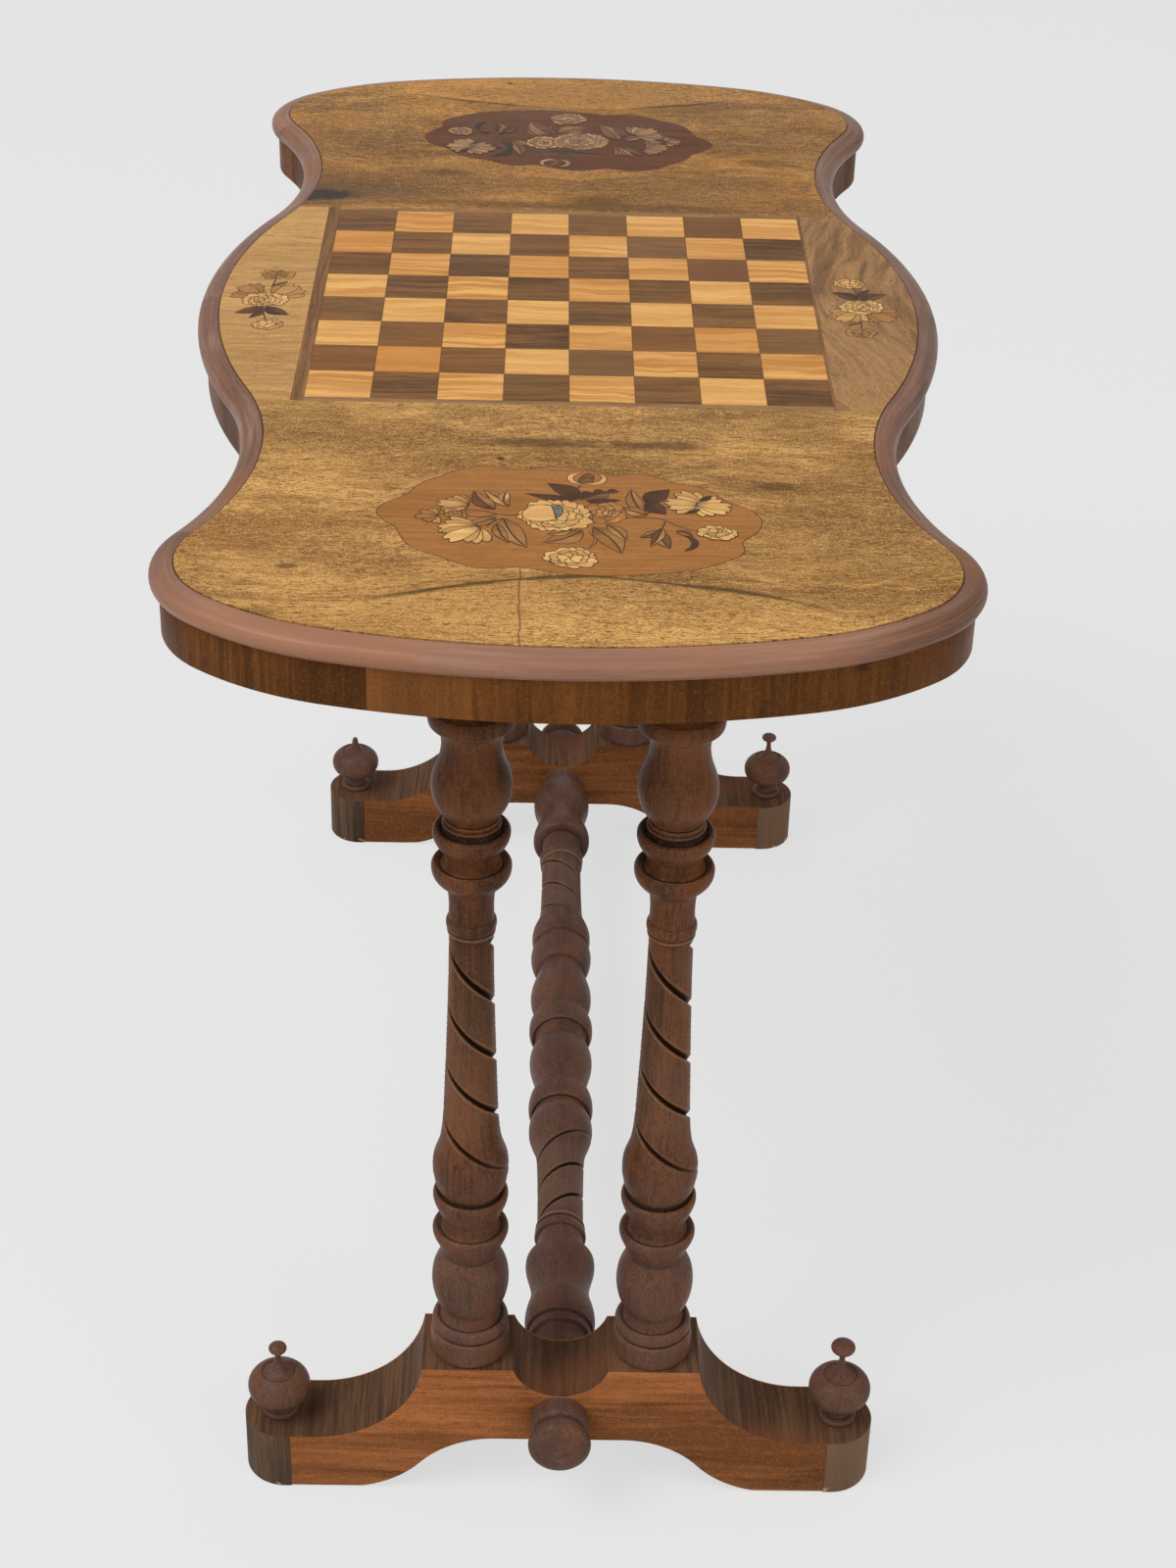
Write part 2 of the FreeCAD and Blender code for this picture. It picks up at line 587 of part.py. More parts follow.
def make_foot_veneer(label, y_side, face_side):
    """The flat face veneer of a foot. face_side is 1 on the face towards +Y."""
    body = doc.addObject("PartDesign::Body", label)
    plan = new_sketch(body, "plan", "XY_Plane")
    inner, outer = S.foot_thickness / 2 - S.veneer_thickness, S.foot_thickness / 2
    low, high = (inner, outer) if face_side > 0 else (-outer, -inner)
    reach = S.face_veneer_reach
    draw_loop(plan, [(-reach, low, 0), (reach, low, 0), (reach, high, 0), (-reach, high, 0)])
    lift_sketch(plan, S.veneer_lift)
    blank = body.newObject("PartDesign::Pad", "leaf")
    blank.Profile = plan
    bind(blank, "Length", S.seat_height - S.veneer_lift)
    foot_waste(body)
    bore_for_stretcher(body)
    place(body, S.base_offset, SUPPORT_STATION * y_side, 0)
    return keep(body, label)


# ---------------------------------------------------------------- bearers

def make_bearer(label, y_side):
    """The cross bearer that joins two columns to the top, thinned to its ends by a double curve."""
    body = doc.addObject("PartDesign::Body", label)
    side = new_sketch(body, "side", "XZ_Plane")
    halfway = (S.bearer_full + S.bearer_half_length) / 2
    rise = S.bearer_depth - S.bearer_end_depth
    draw_loop(side, [
        (-S.bearer_full, 0, 0),
        (S.bearer_full, 0, -S.bearer_bow),
        (halfway, rise / 2, S.bearer_bow),
        (S.bearer_half_length, rise, 0),
        (S.bearer_half_length, S.bearer_depth, 0),
        (-S.bearer_half_length, S.bearer_depth, 0),
        (-S.bearer_half_length, rise, S.bearer_bow),
        (-halfway, rise / 2, -S.bearer_bow),
    ])
    blank = body.newObject("PartDesign::Pad", "blank")
    blank.Profile = side
    blank.Midplane = True
    bind(blank, "Length", S.bearer_width)
    for name, x_side in (("left_mortise", -1), ("right_mortise", 1)):
        add_round_hole(body, name, S.column_spread * x_side, 0, S.tenon_radius + S.fit, as_size(0),
                       S.tenon_length + S.fit, downwards=False)
    place(body, S.base_offset, SUPPORT_STATION * y_side, BEARER_UNDERSIDE)
    return keep(body, label)


# ---------------------------------------------------------------- the serpentine outline of the top

def outline_quarter(offset=0.0):
    """The arcs from the middle of the far end to the middle of the right side, moved out by offset.

    Each arc is (centre, radius, first angle, last angle, way): way is 1 where the outline bulges and -1
    where it is hollow. The radii that aren't in the sheet follow from the arcs being tangent to each other.
    """
    half_length, end_radius = float(S.top_half_length), float(S.end_radius)
    shoulder = float(S.shoulder_radius)
    turn = math.asin(float(S.lobe_half_width * S.end_share) / end_radius)
    lobe = V(float(S.lobe_half_width), float(S.top_half_length - S.lobe_half_width * S.lobe_share), 0)
    waist = V(float(S.waist_half_width), float(S.waist_station), 0)
    belly = V(float(S.belly_half_width), 0, 0)
    end_centre = V(0, half_length - end_radius, 0)
    shoulder_centre = end_centre + V(math.sin(turn), math.cos(turn), 0) * (end_radius - shoulder)
    reach = lobe - shoulder_centre
    corner = (shoulder ** 2 - reach.x ** 2 - reach.y ** 2) / (2 * (shoulder - reach.x))
    corner_centre = lobe - V(corner, 0, 0)
    towards_corner = corner_centre - shoulder_centre
    corner_turn = math.atan2(towards_corner.y, towards_corner.x)
    upper, lower = lobe - waist, belly - waist
    upper_sum = (upper.x ** 2 + upper.y ** 2) / (2 * upper.x)
    lower_sum = (lower.x ** 2 + lower.y ** 2) / (2 * lower.x)
    upper_turn, lower_turn = math.asin(upper.y / upper_sum), math.asin(-lower.y / lower_sum)
    upper_hollow, lower_hollow = upper_sum - corner, lower_sum - float(S.belly_radius)
    half_turn = math.pi
    arcs = [
        (end_centre, end_radius, half_turn / 2, half_turn / 2 - turn, 1),
        (shoulder_centre, shoulder, half_turn / 2 - turn, corner_turn, 1),
        (corner_centre, corner, corner_turn, -upper_turn, 1),
        (waist + V(upper_hollow, 0, 0), upper_hollow, half_turn - upper_turn, half_turn, -1),
        (waist + V(lower_hollow, 0, 0), lower_hollow, half_turn, half_turn + lower_turn, -1),
        (belly - V(float(S.belly_radius), 0, 0), float(S.belly_radius), lower_turn, 0.0, 1),
    ]
    return [(centre, radius + way * offset, first, last, way) for centre, radius, first, last, way in arcs]


def arc_point(centre, radius, angle):
    return centre + V(math.cos(angle), math.sin(angle), 0) * radius


def outline_face(offset=0.0):
    """The whole serpentine outline as a face on the XY plane."""
    quarter = []
    for centre, radius, first, last, _ in outline_quarter(offset):
        quarter.append([arc_point(centre, radius, angle) for angle in (first, (first + last) / 2, last)])
    edges = []
    for x_side, y_side in ((1, 1), (1, -1), (-1, -1), (-1, 1)):
        arcs = quarter if x_side * y_side > 0 else [list(reversed(points)) for points in reversed(quarter)]
        for points in arcs:
            edges.append(Part.Arc(*[V(p.x * x_side, p.y * y_side, 0) for p in points]).toShape())
    return Part.Face(Part.Wire(edges))


def run_along(section, arcs, x_side=1, y_side=1):
    """Carries a section (offset from the outline, height, bow) round some of the outline's arcs.

    A tangent arc of the outline is a circle in plan, so each stretch is the section turned about its centre.
    """
    pieces = []
    for centre, radius, first, last, way in arcs:
        edges = []
        for (out, height, bow), (next_out, next_height, _) in zip(section, section[1:] + section[:1]):
            a = V(radius + way * out, 0, height)
            b = V(radius + way * next_out, 0, next_height)
            if bow:
                along = (b - a).normalize()
                middle = (a + b) / 2 + V(along.z, 0, -along.x) * bow * way
                edges.append(Part.Arc(a, middle, b).toShape())
            else:
                edges.append(Part.LineSegment(a, b).toShape())
        face = Part.Face(Part.Wire(edges))
        stretch = face.revolve(V(0, 0, 0), UP, math.degrees(last - first))
        stretch.rotate(V(0, 0, 0), UP, math.degrees(first))
        stretch.translate(centre)
        pieces.append(stretch)
    whole = pieces[0].fuse(pieces[1:]).removeSplitter() if len(pieces) > 1 else pieces[0]
    if x_side < 0:
        whole = whole.mirror(V(0, 0, 0), V(1, 0, 0))
    if y_side < 0:
        whole = whole.mirror(V(0, 0, 0), V(0, 1, 0))
    return whole


def keep_shape(shape, label, z=0):
    """A sub-part whose shape comes from the outline's arcs, put at its level."""
    item = doc.addObject("Part::Feature", label)
    item.Shape = Part.makeSolid(shape.Shells[0]) if shape.ShapeType == "Shell" else shape
    place(item, 0, 0, z)
    return keep(item, label)


END_ARCS, SIDE_ARCS = slice(0, 3), slice(3, 6)


def moulding_section():
    """The edge moulding, from its glued inner face round over the nose and back under to the frieze."""
    depth = float(S.board_thickness + S.veneer_thickness)
    width, step = float(S.moulding_width), float(S.moulding_step)
    top = depth - step
    shoulder = top - float(S.moulding_shoulder)
    nose = shoulder - float(S.moulding_nose)
    flat = width - float(S.frieze_inset)
    crown, bow = float(S.moulding_crown), float(S.moulding_round)
    shoulder_out = width - bow
    return [
        (0.0, 0.0, 0.0),
        (flat, 0.0, 0.0),
        (shoulder_out, nose, bow),
        (shoulder_out, shoulder, crown),
        (0.0, top, 0.0),
    ]


def make_mouldings():
    section = moulding_section()
    arcs = outline_quarter()
    for x_side, x_name in ((-1, "left"), (1, "right")):
        for y_side, y_name in ((-1, "near"), (1, "far")):
            keep_shape(run_along(section, arcs[END_ARCS], x_side, y_side),
                       f"moulding_{y_name}_{x_name}", TOP_UNDERSIDE)
        halves = [run_along(section, arcs[SIDE_ARCS], x_side, y_side) for y_side in (-1, 1)]
        side = halves[0].fuse(halves[1]).removeSplitter().Solids[0]
        keep_shape(side, f"moulding_side_{x_name}", TOP_UNDERSIDE)


def make_frieze():
    """The rails under the moulding, a ground and a cross-grained veneer on each."""
    face = float(S.moulding_width - S.frieze_inset)
    back = face - float(S.veneer_thickness)
    height = float(S.frieze_height)
    layers = [("frieze_rail", back - float(S.frieze_thickness), back), ("frieze_veneer", back, face)]
    arcs = outline_quarter()
    for name, inside, outside in layers:
        section = [(inside, 0.0, 0.0), (outside, 0.0, 0.0), (outside, height, 0.0), (inside, height, 0.0)]
        for y_side, y_name in ((-1, "near"), (1, "far")):
            halves = [run_along(section, arcs[END_ARCS], x_side, y_side) for x_side in (-1, 1)]
            keep_shape(halves[0].fuse(halves[1]).removeSplitter().Solids[0], f"{name}_{y_name}",
                       TOP_UNDERSIDE - S.frieze_height)
        for x_side, x_name in ((-1, "left"), (1, "right")):
            halves = [run_along(section, arcs[SIDE_ARCS], x_side, y_side) for y_side in (-1, 1)]
            keep_shape(halves[0].fuse(halves[1]).removeSplitter().Solids[0], f"{name}_{x_name}",
                       TOP_UNDERSIDE - S.frieze_height)


def make_top_board():
    return keep_shape(outline_face().extrude(UP * float(S.board_thickness)), "top_board", TOP_UNDERSIDE)


# ---------------------------------------------------------------- veneers, board and panels

SURFACE = TOP_UNDERSIDE + S.board_thickness


def rectangle(x_low, x_high, y_low, y_high):
    corners = [V(x_low, y_low, 0), V(x_high, y_low, 0), V(x_high, y_high, 0), V(x_low, y_high, 0)]
    return Part.Face(Part.makePolygon(corners + corners[:1]))


def panel_face(y_side):
    """A scalloped oval: arcs between cusps on an ellipse, with a wider and deeper one at each of its tips."""
    half_width, half_depth = float(S.panel_half_width), float(S.panel_half_depth)
    middle = V(0, float(S.top_half_length - S.end_to_panel) * y_side, 0)
    tip, scallops = math.radians(float(S.panel_tip_turn)), 5
    turns = [tip + (math.pi - 2 * tip) * number / scallops for number in range(scallops + 1)]
    turns += [turn + math.pi for turn in turns]
    points = [middle + V(half_width * math.cos(turn), half_depth * math.sin(turn), 0) for turn in turns]
    edges = []
    for number, (a, b) in enumerate(zip(points, points[1:] + points[:1])):
        bow = float(S.panel_tip_bow if (number + 1) % (scallops + 1) == 0 else S.scallop_bow)
        along = (b - a).normalize()
        edges.append(Part.Arc(a, (a + b) / 2 + V(along.y, -along.x, 0) * bow, b).toShape())
    return Part.Face(Part.Wire(edges))


def make_veneers():
    """The field of the top: two end leaves with their panels, and a side leaf each side of the board."""
    thickness = UP * float(S.veneer_thickness)
    field, edge, far_out = outline_face(), float(FIELD_EDGE), float(S.top_half_length) * 2
    for y_side, name in ((-1, "near"), (1, "far")):
        low, high = sorted((edge * y_side, far_out * y_side))
        panel = panel_face(y_side)
        leaf = field.common(rectangle(-far_out, far_out, low, high)).cut(panel)
        keep_shape(leaf.Faces[0].extrude(thickness), f"veneer_{name}", SURFACE)
        keep_shape(panel.extrude(thickness), f"marquetry_panel_{name}", SURFACE)
    sides = (
        ("left", -far_out, -float(BOARD_HALF + S.left_border)),
        ("right", float(BOARD_HALF + S.right_border), far_out),
    )
    for name, low, high in sides:
        leaf = field.common(rectangle(low, high, -edge, edge))
        keep_shape(leaf.Faces[0].extrude(thickness), f"veneer_{name}", SURFACE)


def add_strip(name, x, y, length, width):
    strip = doc.addObject("Part::Box", name)
    bind(strip, "Length", length)
    bind(strip, "Width", width)
    bind(strip, "Height", S.veneer_thickness)
    return place(strip, x, y, SURFACE)


def make_board():
    """Sixty-four squares laid edge to edge, and the bands around them."""
    tones = {"dark": [], "light": []}
    for column in range(8):
        for row in range(8):
            tone = "light" if (column + row) % 2 == 0 else "dark"
            x, y = S.square * (column - 4), S.square * (row - 4)
            tones[tone].append(add_strip(f"{tone}_square", x, y, S.square, S.square))
    for tone, squares in tones.items():
        group = doc.addObject("Part::Compound", f"squares_{tone}")
        group.Links = squares
        keep(group, f"squares_{tone}")
    keep(add_strip("band_near", -BOARD_HALF, -FIELD_EDGE, BOARD_HALF * 2, S.end_border), "band_near")
    keep(add_strip("band_far", -BOARD_HALF, BOARD_HALF, BOARD_HALF * 2, S.end_border), "band_far")
    left_edge = -(BOARD_HALF + S.left_border)
    keep(add_strip("band_left", left_edge, -FIELD_EDGE, S.left_border, FIELD_EDGE * 2), "band_left")
    keep(add_strip("band_right", BOARD_HALF, -FIELD_EDGE, S.right_border, FIELD_EDGE * 2), "band_right")


# ---------------------------------------------------------------- the table

def make_table():
    make_top_board()
    make_veneers()
    make_board()
    make_mouldings()
    make_frieze()
    for y_side, y_name in ((-1, "near"), (1, "far")):
        make_bearer(f"bearer_{y_name}", y_side)
        make_foot(f"foot_{y_name}", y_side)
        make_foot_veneer(f"foot_veneer_{y_name}_outer", y_side, y_side)
        make_foot_veneer(f"foot_veneer_{y_name}_inner", y_side, -y_side)
        make_boss(f"boss_{y_name}", y_side)
        for x_side, x_name in ((-1, "left"), (1, "right")):
            make_column(f"column_{y_name}_{x_name}", x_side, y_side)
            make_finial(f"finial_{y_name}_{x_name}", x_side, y_side, broken=(x_side, y_side) == (-1, 1))
    make_stretcher()


def check_document():
    """Stops before anything is written if an object failed or a sub-part has no sound shape."""
    for item in doc.Objects:
        if "Invalid" in item.State or "Error" in item.State:
            raise RuntimeError(f"{item.Label} failed: {item.State}")
    for item in sub_parts:
        if item.Shape.isNull() or not item.Shape.isValid() or not item.Shape.Solids:
            raise RuntimeError(f"{item.Label} has no sound solid")


make_table()
doc.recompute()
check_document()
os.makedirs("parts", exist_ok=True)
for sub_part in sub_parts:
    sub_part.Shape.exportStep(os.path.join("parts", f"{sub_part.Label}.step"))
    print(f"{sub_part.Label}: {len(sub_part.Shape.Solids)} solid(s), {sub_part.Shape.Volume / 1000:.2f} cm3")
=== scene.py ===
"""A walnut games table with an inlaid chessboard: its surfaces, its turned work and its marquetry."""
import json
import math
import random

import bpy
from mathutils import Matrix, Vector

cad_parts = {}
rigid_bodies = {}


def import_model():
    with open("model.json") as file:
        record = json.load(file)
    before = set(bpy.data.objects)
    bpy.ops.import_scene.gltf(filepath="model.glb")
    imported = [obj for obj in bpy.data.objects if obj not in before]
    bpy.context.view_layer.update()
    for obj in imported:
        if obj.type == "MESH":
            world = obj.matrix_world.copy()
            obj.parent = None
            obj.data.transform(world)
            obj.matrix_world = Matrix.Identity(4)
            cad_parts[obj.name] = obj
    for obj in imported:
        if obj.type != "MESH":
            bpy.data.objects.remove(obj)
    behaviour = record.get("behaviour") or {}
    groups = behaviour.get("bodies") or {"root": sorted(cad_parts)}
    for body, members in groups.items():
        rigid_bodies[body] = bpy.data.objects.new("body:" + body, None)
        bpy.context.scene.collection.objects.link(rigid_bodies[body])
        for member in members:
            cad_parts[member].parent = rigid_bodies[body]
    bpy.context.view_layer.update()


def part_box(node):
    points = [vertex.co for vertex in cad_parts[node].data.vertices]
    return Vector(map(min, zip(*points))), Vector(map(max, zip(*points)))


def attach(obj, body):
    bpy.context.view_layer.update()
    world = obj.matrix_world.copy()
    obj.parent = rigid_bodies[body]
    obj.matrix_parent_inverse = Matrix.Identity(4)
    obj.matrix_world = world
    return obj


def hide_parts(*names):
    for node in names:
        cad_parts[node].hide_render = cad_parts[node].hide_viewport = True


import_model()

bl_info = {
    "name": "Inlaid Games Table",
    "version": (1, 0, 0),
    "blender": (4, 5, 0),
    "location": "View3D > Sidebar > Games Table",
    "description": "Dresses the frame of a walnut games table with turned work, mouldings, marquetry and finishes",
    "category": "Object",
}

ROOT = "root"
MM = 0.001
ENDS = {"near": -1, "far": 1}
SIDES = {"left": -1, "right": 1}


def lowest(node):
    """The corner of a node's box with the smallest numbers"""
    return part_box(node)[0]


def highest(node):
    """The corner of a node's box with the largest numbers"""
    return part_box(node)[1]


def midpoint(node):
    """The middle of a node's box"""
    return [(a + b) / 2 for a, b in zip(*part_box(node))]


# Places and sizes that follow from the frame, in metres.
SURFACE = highest("squares_dark").z
SQUARE = (highest("squares_dark").x - lowest("squares_dark").x) / 8
TOP_UNDERSIDE = lowest("top_board").z
TOP_HALF_LENGTH = highest("top_board").y
BELLY_HALF_WIDTH = highest("top_board").x
FRIEZE_UNDERSIDE = lowest("frieze_veneer_near").z
BEARER_UNDERSIDE = lowest("bearer_near").z
BASE_X = midpoint("foot_near")[0]
SUPPORT_Y = midpoint("foot_far")[1]
FOOT_HALF_THICKNESS = highest("foot_far").y - SUPPORT_Y
FOOT_SQUARE_HALF = 187.5 * MM
FOOT_END_HEIGHT = lowest("foot_near").z + 47 * MM
COLUMN_SPREAD = (lowest("column_near_right").x - lowest("column_near_left").x) / 2
FINIAL_SPREAD = (lowest("finial_near_right").x - lowest("finial_near_left").x) / 2
STRETCHER_HEIGHT = midpoint("stretcher")[2]
PANEL_STATION = midpoint("marquetry_panel_far")[1]

# Turned outlines in millimetres: height and radius, and a third number where the outline has a corner.
COLUMN_OUTLINE = [
    (112, 0, 1), (112, 26.2, 1), (112.8, 26.8), (120, 27.0), (128, 26.8), (130.4, 26.0), (131.0, 24.0, 1),
    (131.6, 23.6, 1), (132.4, 25.2), (135.2, 26.1), (138.4, 25.8), (140.6, 24.6), (141.4, 23.2, 1), (140.4, 21.0, 1),
    (142.6, 19.9), (146.5, 19.4), (149.6, 19.6, 1), (153, 21.6), (158, 23.6), (164, 25.2), (171, 26.1), (178, 26.0),
    (185, 24.9), (190, 23.1), (194.5, 20.8), (197.4, 19.0, 1), (199.5, 18.9, 1), (203.5, 20.6), (209, 23.0),
    (213.6, 24.9), (217, 25.6), (219.4, 25.2), (220.8, 23.8, 1), (219.4, 20.4, 1), (221.4, 19.0), (225, 18.6),
    (228.4, 19.0, 1), (232.6, 20.8), (238, 22.9), (243, 24.6), (246.6, 25.2), (249.2, 24.8), (250.6, 23.4, 1),
    (249.4, 20.4, 1), (251.4, 19.8, 1), (253.2, 21.4, 1), (257, 23.0), (261.6, 24.2), (264.6, 24.5, 1), (266.4, 25.0),
    (270, 25.3), (275.5, 25.2), (281, 24.4), (286.5, 22.6), (292, 20.9), (301, 19.4), (322, 18.0), (344, 17.2),
    (366, 16.4), (388, 15.7), (409, 15.1), (429, 14.6), (446, 14.4), (460, 14.2, 1), (460.8, 15.2, 1), (462.4, 15.4, 1),
    (463.2, 14.8, 1), (465, 15.7), (467.6, 16.1), (470.2, 15.6), (471.6, 14.5, 1), (475, 14.3), (484, 14.3),
    (490, 14.8), (494, 15.6, 1), (497, 18.2), (500.6, 21.8), (504.6, 24.3), (509, 25.2), (511.8, 24.9),
    (513.4, 23.6, 1), (511.8, 19.6, 1), (513.6, 18.0), (517, 17.4), (520.6, 17.8, 1), (523.4, 19.4), (527.6, 22.2),
    (531.4, 23.8), (534.8, 24.3), (537.4, 23.8), (538.6, 22.4, 1), (537.4, 19.0, 1), (539.4, 17.6, 1), (540.4, 17.4, 1),
    (541.2, 18.4), (542.4, 18.4), (543.2, 17.2, 1), (544.2, 17.4), (545.4, 17.4), (546.2, 16.3, 1), (548.6, 17.6),
    (552.2, 20.2), (557, 22.7), (563, 24.5), (569.5, 25.1), (575, 24.5), (581, 22.7), (587, 20.6), (593, 19.2),
    (600, 18.7), (607, 20.0), (610, 21.6, 1), (611.5, 23.4, 1), (613.5, 26.2), (616, 27.0), (621, 27.0),
    (623.5, 26.0, 1), (626, 22.6), (629, 20.7), (632, 20.7), (634.5, 22.5, 1), (638, 24.4), (642, 24.2, 1),
    (649.5, 24.4), (650, 24.0, 1), (650, 0, 1),
]
COLUMN_TWIST = (266, 460)
STRETCHER_OUTLINE = [
    (0, 26.1), (4, 26.0), (8, 25.3), (11.2, 23.9, 1), (10.4, 21.6, 1), (13, 20.6), (18, 20.0), (23.6, 20.2, 1),
    (28, 22.4), (34, 24.4), (42, 25.3), (51, 25.0), (61, 23.3), (71, 21.0), (78, 19.4), (83, 18.8, 1), (84.4, 21.4, 1),
    (88, 23.2), (94, 24.8), (101, 25.6), (107, 25.5), (111.4, 24.6), (113, 23.4, 1), (112.2, 21.6, 1), (116, 21.2),
    (120, 21.4, 1), (121.4, 23.6, 1), (127, 24.8), (133, 25.0), (139, 24.6), (147, 22.8), (156, 20.2), (165, 18.8),
    (180, 18.1), (197, 17.7), (214, 17.5), (232, 17.4), (246.6, 17.4, 1), (247.6, 18.6, 1), (249.8, 18.8, 1),
    (250.4, 17.2, 1), (252, 17.2, 1), (252.8, 18.4), (256, 19.3), (259, 19.3), (260.4, 18.8, 1), (261, 17.2, 1),
    (266, 16.9), (274, 16.9), (282.6, 17.4, 1), (283.2, 23.4, 1), (285, 24.8), (289, 25.5), (296, 25.2), (305, 23.4),
    (314, 21.7), (322, 21.3), (330, 22.3), (338, 24.2), (347, 25.4), (355, 25.3), (360, 24.4, 1), (361, 22.2, 1),
    (364, 22.6), (368, 22.0, 1), (369.4, 19.2, 1), (374, 17.8), (380, 17.6), (389, 18.2, 1),
]
STRETCHER_TWIST = (136, 247)
FINIAL_OUTLINE = [
    (0, 0, 1), (0, 12.4, 1), (0.8, 13.0), (2.2, 13.2), (3.8, 12.7), (4.8, 10.6, 1), (5.2, 8.8, 1), (7.5, 7.9),
    (10.4, 7.7), (12.6, 8.6, 1), (14.2, 12.4), (17, 16.8), (21, 20.2), (26.5, 21.7), (31.5, 20.9), (35.4, 18.4),
    (38.2, 15.2), (39.6, 12.6, 1), (38.8, 11.2, 1), (39.8, 8.6), (41.6, 6.2), (44.4, 4.3), (47.5, 3.0),
]
FINIAL_STUMP = [(50.5, 2.6), (53, 1.6), (54, 0, 1)]
BOSS_OUTLINE = [
    (0, 0, 1), (0, 19.4, 1), (1, 19.8), (5, 20.2), (9.5, 20.4), (12.5, 19.8), (15, 18.2, 1), (16.5, 17.9, 1),
    (18.5, 19.2), (21, 20.6), (24, 21.5), (27, 21.6), (30, 20.3), (32.6, 17.2), (34.2, 13.6), (35.4, 9.2), (36.6, 5.2),
    (38.2, 2.2), (39, 0, 1),
]

# The knob of each finial: the height of its middle, its radius and half height, and how far the onion has sunk.
FINIAL_KNOBS = {
    "near_left": (57.0, 6.2, 4.4, 3.5), "near_right": (65.0, 8.4, 5.2, 0.0), "far_right": (61.6, 6.6, 4.0, 0.0),
    "far_left": None,
}
# A knob's outline: height and radius as shares of its half height and its radius.
KNOB_OUTLINE = [(-0.78, 0.62), (-0.3, 0.97), (0.15, 1), (0.62, 0.74), (0.9, 0.34)]

# Sections of the edge: how far out from the veneer and how high, and a third number at a corner.
MOULDING_SECTION = [
    (0, 0, 1), (9.5, 0, 1), (12.0, 2.0), (14.2, 4.6), (15.0, 8.0), (14.3, 11.2), (12.2, 13.6), (8.6, 15.2), (4.4, 16.1),
    (0.7, 16.5, 1), (0, 16.1, 1),
]
FRIEZE_SECTION = [(8.5, 0.3, 1), (8.9, 0, 1), (9.3, 0.1, 1), (9.5, 0.5, 1), (9.5, 28.0, 1), (8.5, 28.0, 1)]


# ------------------------------------------------------------------ settings

COLOUR = {"subtype": "COLOR", "min": 0, "max": 1}


class TableShape(bpy.types.PropertyGroup):
    """Sizes of the pieces that are made here"""
    lathe_steps: bpy.props.IntProperty(
        name="Lathe steps", description="Flats round a turned piece", default=96, min=24, max=160)
    column_lead: bpy.props.FloatProperty(
        name="Column lead", description="Rise of one turn of a column's twist", default=0.090, unit="LENGTH")
    stretcher_lead: bpy.props.FloatProperty(
        name="Stretcher lead", description="Rise of one turn of the stretcher's twist", default=0.072, unit="LENGTH")
    groove_depth: bpy.props.FloatProperty(
        name="Groove depth", description="Depth of the twist's grooves", default=0.0030, unit="LENGTH")
    worn_edge: bpy.props.FloatProperty(
        name="Worn edge", description="Rounding of the sawn edges", default=0.0007, unit="LENGTH")
    inlay_height: bpy.props.FloatProperty(
        name="Inlay height", description="Height of the marquetry above its ground", default=0.00006, unit="LENGTH")
    knife_line: bpy.props.FloatProperty(
        name="Knife line", description="Width of the dark saw cut round a piece", default=0.00062, unit="LENGTH")


class TableFinish(bpy.types.PropertyGroup):
    """Colours of the woods"""
    burr_light: bpy.props.FloatVectorProperty(
        name="Burr, light", description="Light figure of the burr veneer", default=(0.71, 0.385, 0.118), **COLOUR)
    burr_dark: bpy.props.FloatVectorProperty(
        name="Burr, dark", description="Dark figure of the burr veneer", default=(0.26, 0.115, 0.030), **COLOUR)
    satin_light: bpy.props.FloatVectorProperty(
        name="Light square", description="Satinwood of the light squares", default=(0.70, 0.35, 0.09), **COLOUR)
    satin_dark: bpy.props.FloatVectorProperty(
        name="Dark square", description="Walnut of the dark squares", default=(0.19, 0.082, 0.022), **COLOUR)
    moulding: bpy.props.FloatVectorProperty(
        name="Moulding", description="Reddish walnut of the edge", default=(0.22, 0.10, 0.058), **COLOUR)
    frieze: bpy.props.FloatVectorProperty(
        name="Frieze", description="Veneer under the moulding", default=(0.195, 0.066, 0.013), **COLOUR)
    turned: bpy.props.FloatVectorProperty(
        name="Turned work", description="Walnut of columns and stretcher", default=(0.100, 0.038, 0.018), **COLOUR)
    foot_face: bpy.props.FloatVectorProperty(
        name="Foot face", description="Veneer on the faces of the feet", default=(0.31, 0.108, 0.034), **COLOUR)
    foot_top: bpy.props.FloatVectorProperty(
        name="Foot top", description="Tops of the feet", default=(0.115, 0.058, 0.032), **COLOUR)


def shape():
    return bpy.context.scene.table_shape


def finish():
    return bpy.context.scene.table_finish


# ------------------------------------------------------------------ modelling by hand

def to_mode(mode):
    bpy.ops.object.mode_set(mode=mode)


def select_mesh(action="SELECT"):
    bpy.ops.mesh.select_all(action=action)


def deselect_all():
    if bpy.context.object and bpy.context.object.mode != "OBJECT":
        to_mode("OBJECT")
    bpy.ops.object.select_all(action="DESELECT")


def take(*items):
    """Selects these objects alone, the first of them active"""
    deselect_all()
    for item in items:
        item.select_set(True)
    bpy.context.view_layer.objects.active = items[0]


def edit(item):
    take(item)
    to_mode("EDIT")
    select_mesh()


def merge_doubles(item, reach=0.002 * MM):
    """Merges points that lie together, and stays in edit mode"""
    edit(item)
    bpy.ops.mesh.remove_doubles(threshold=reach)


def face_outwards(piece):
    edit(piece)
    bpy.ops.mesh.normals_make_consistent(inside=False)
    to_mode("OBJECT")


def smooth(crease=32):
    """Smooths the selected pieces, all but their creases"""
    bpy.ops.object.shade_smooth_by_angle(angle=math.radians(crease))


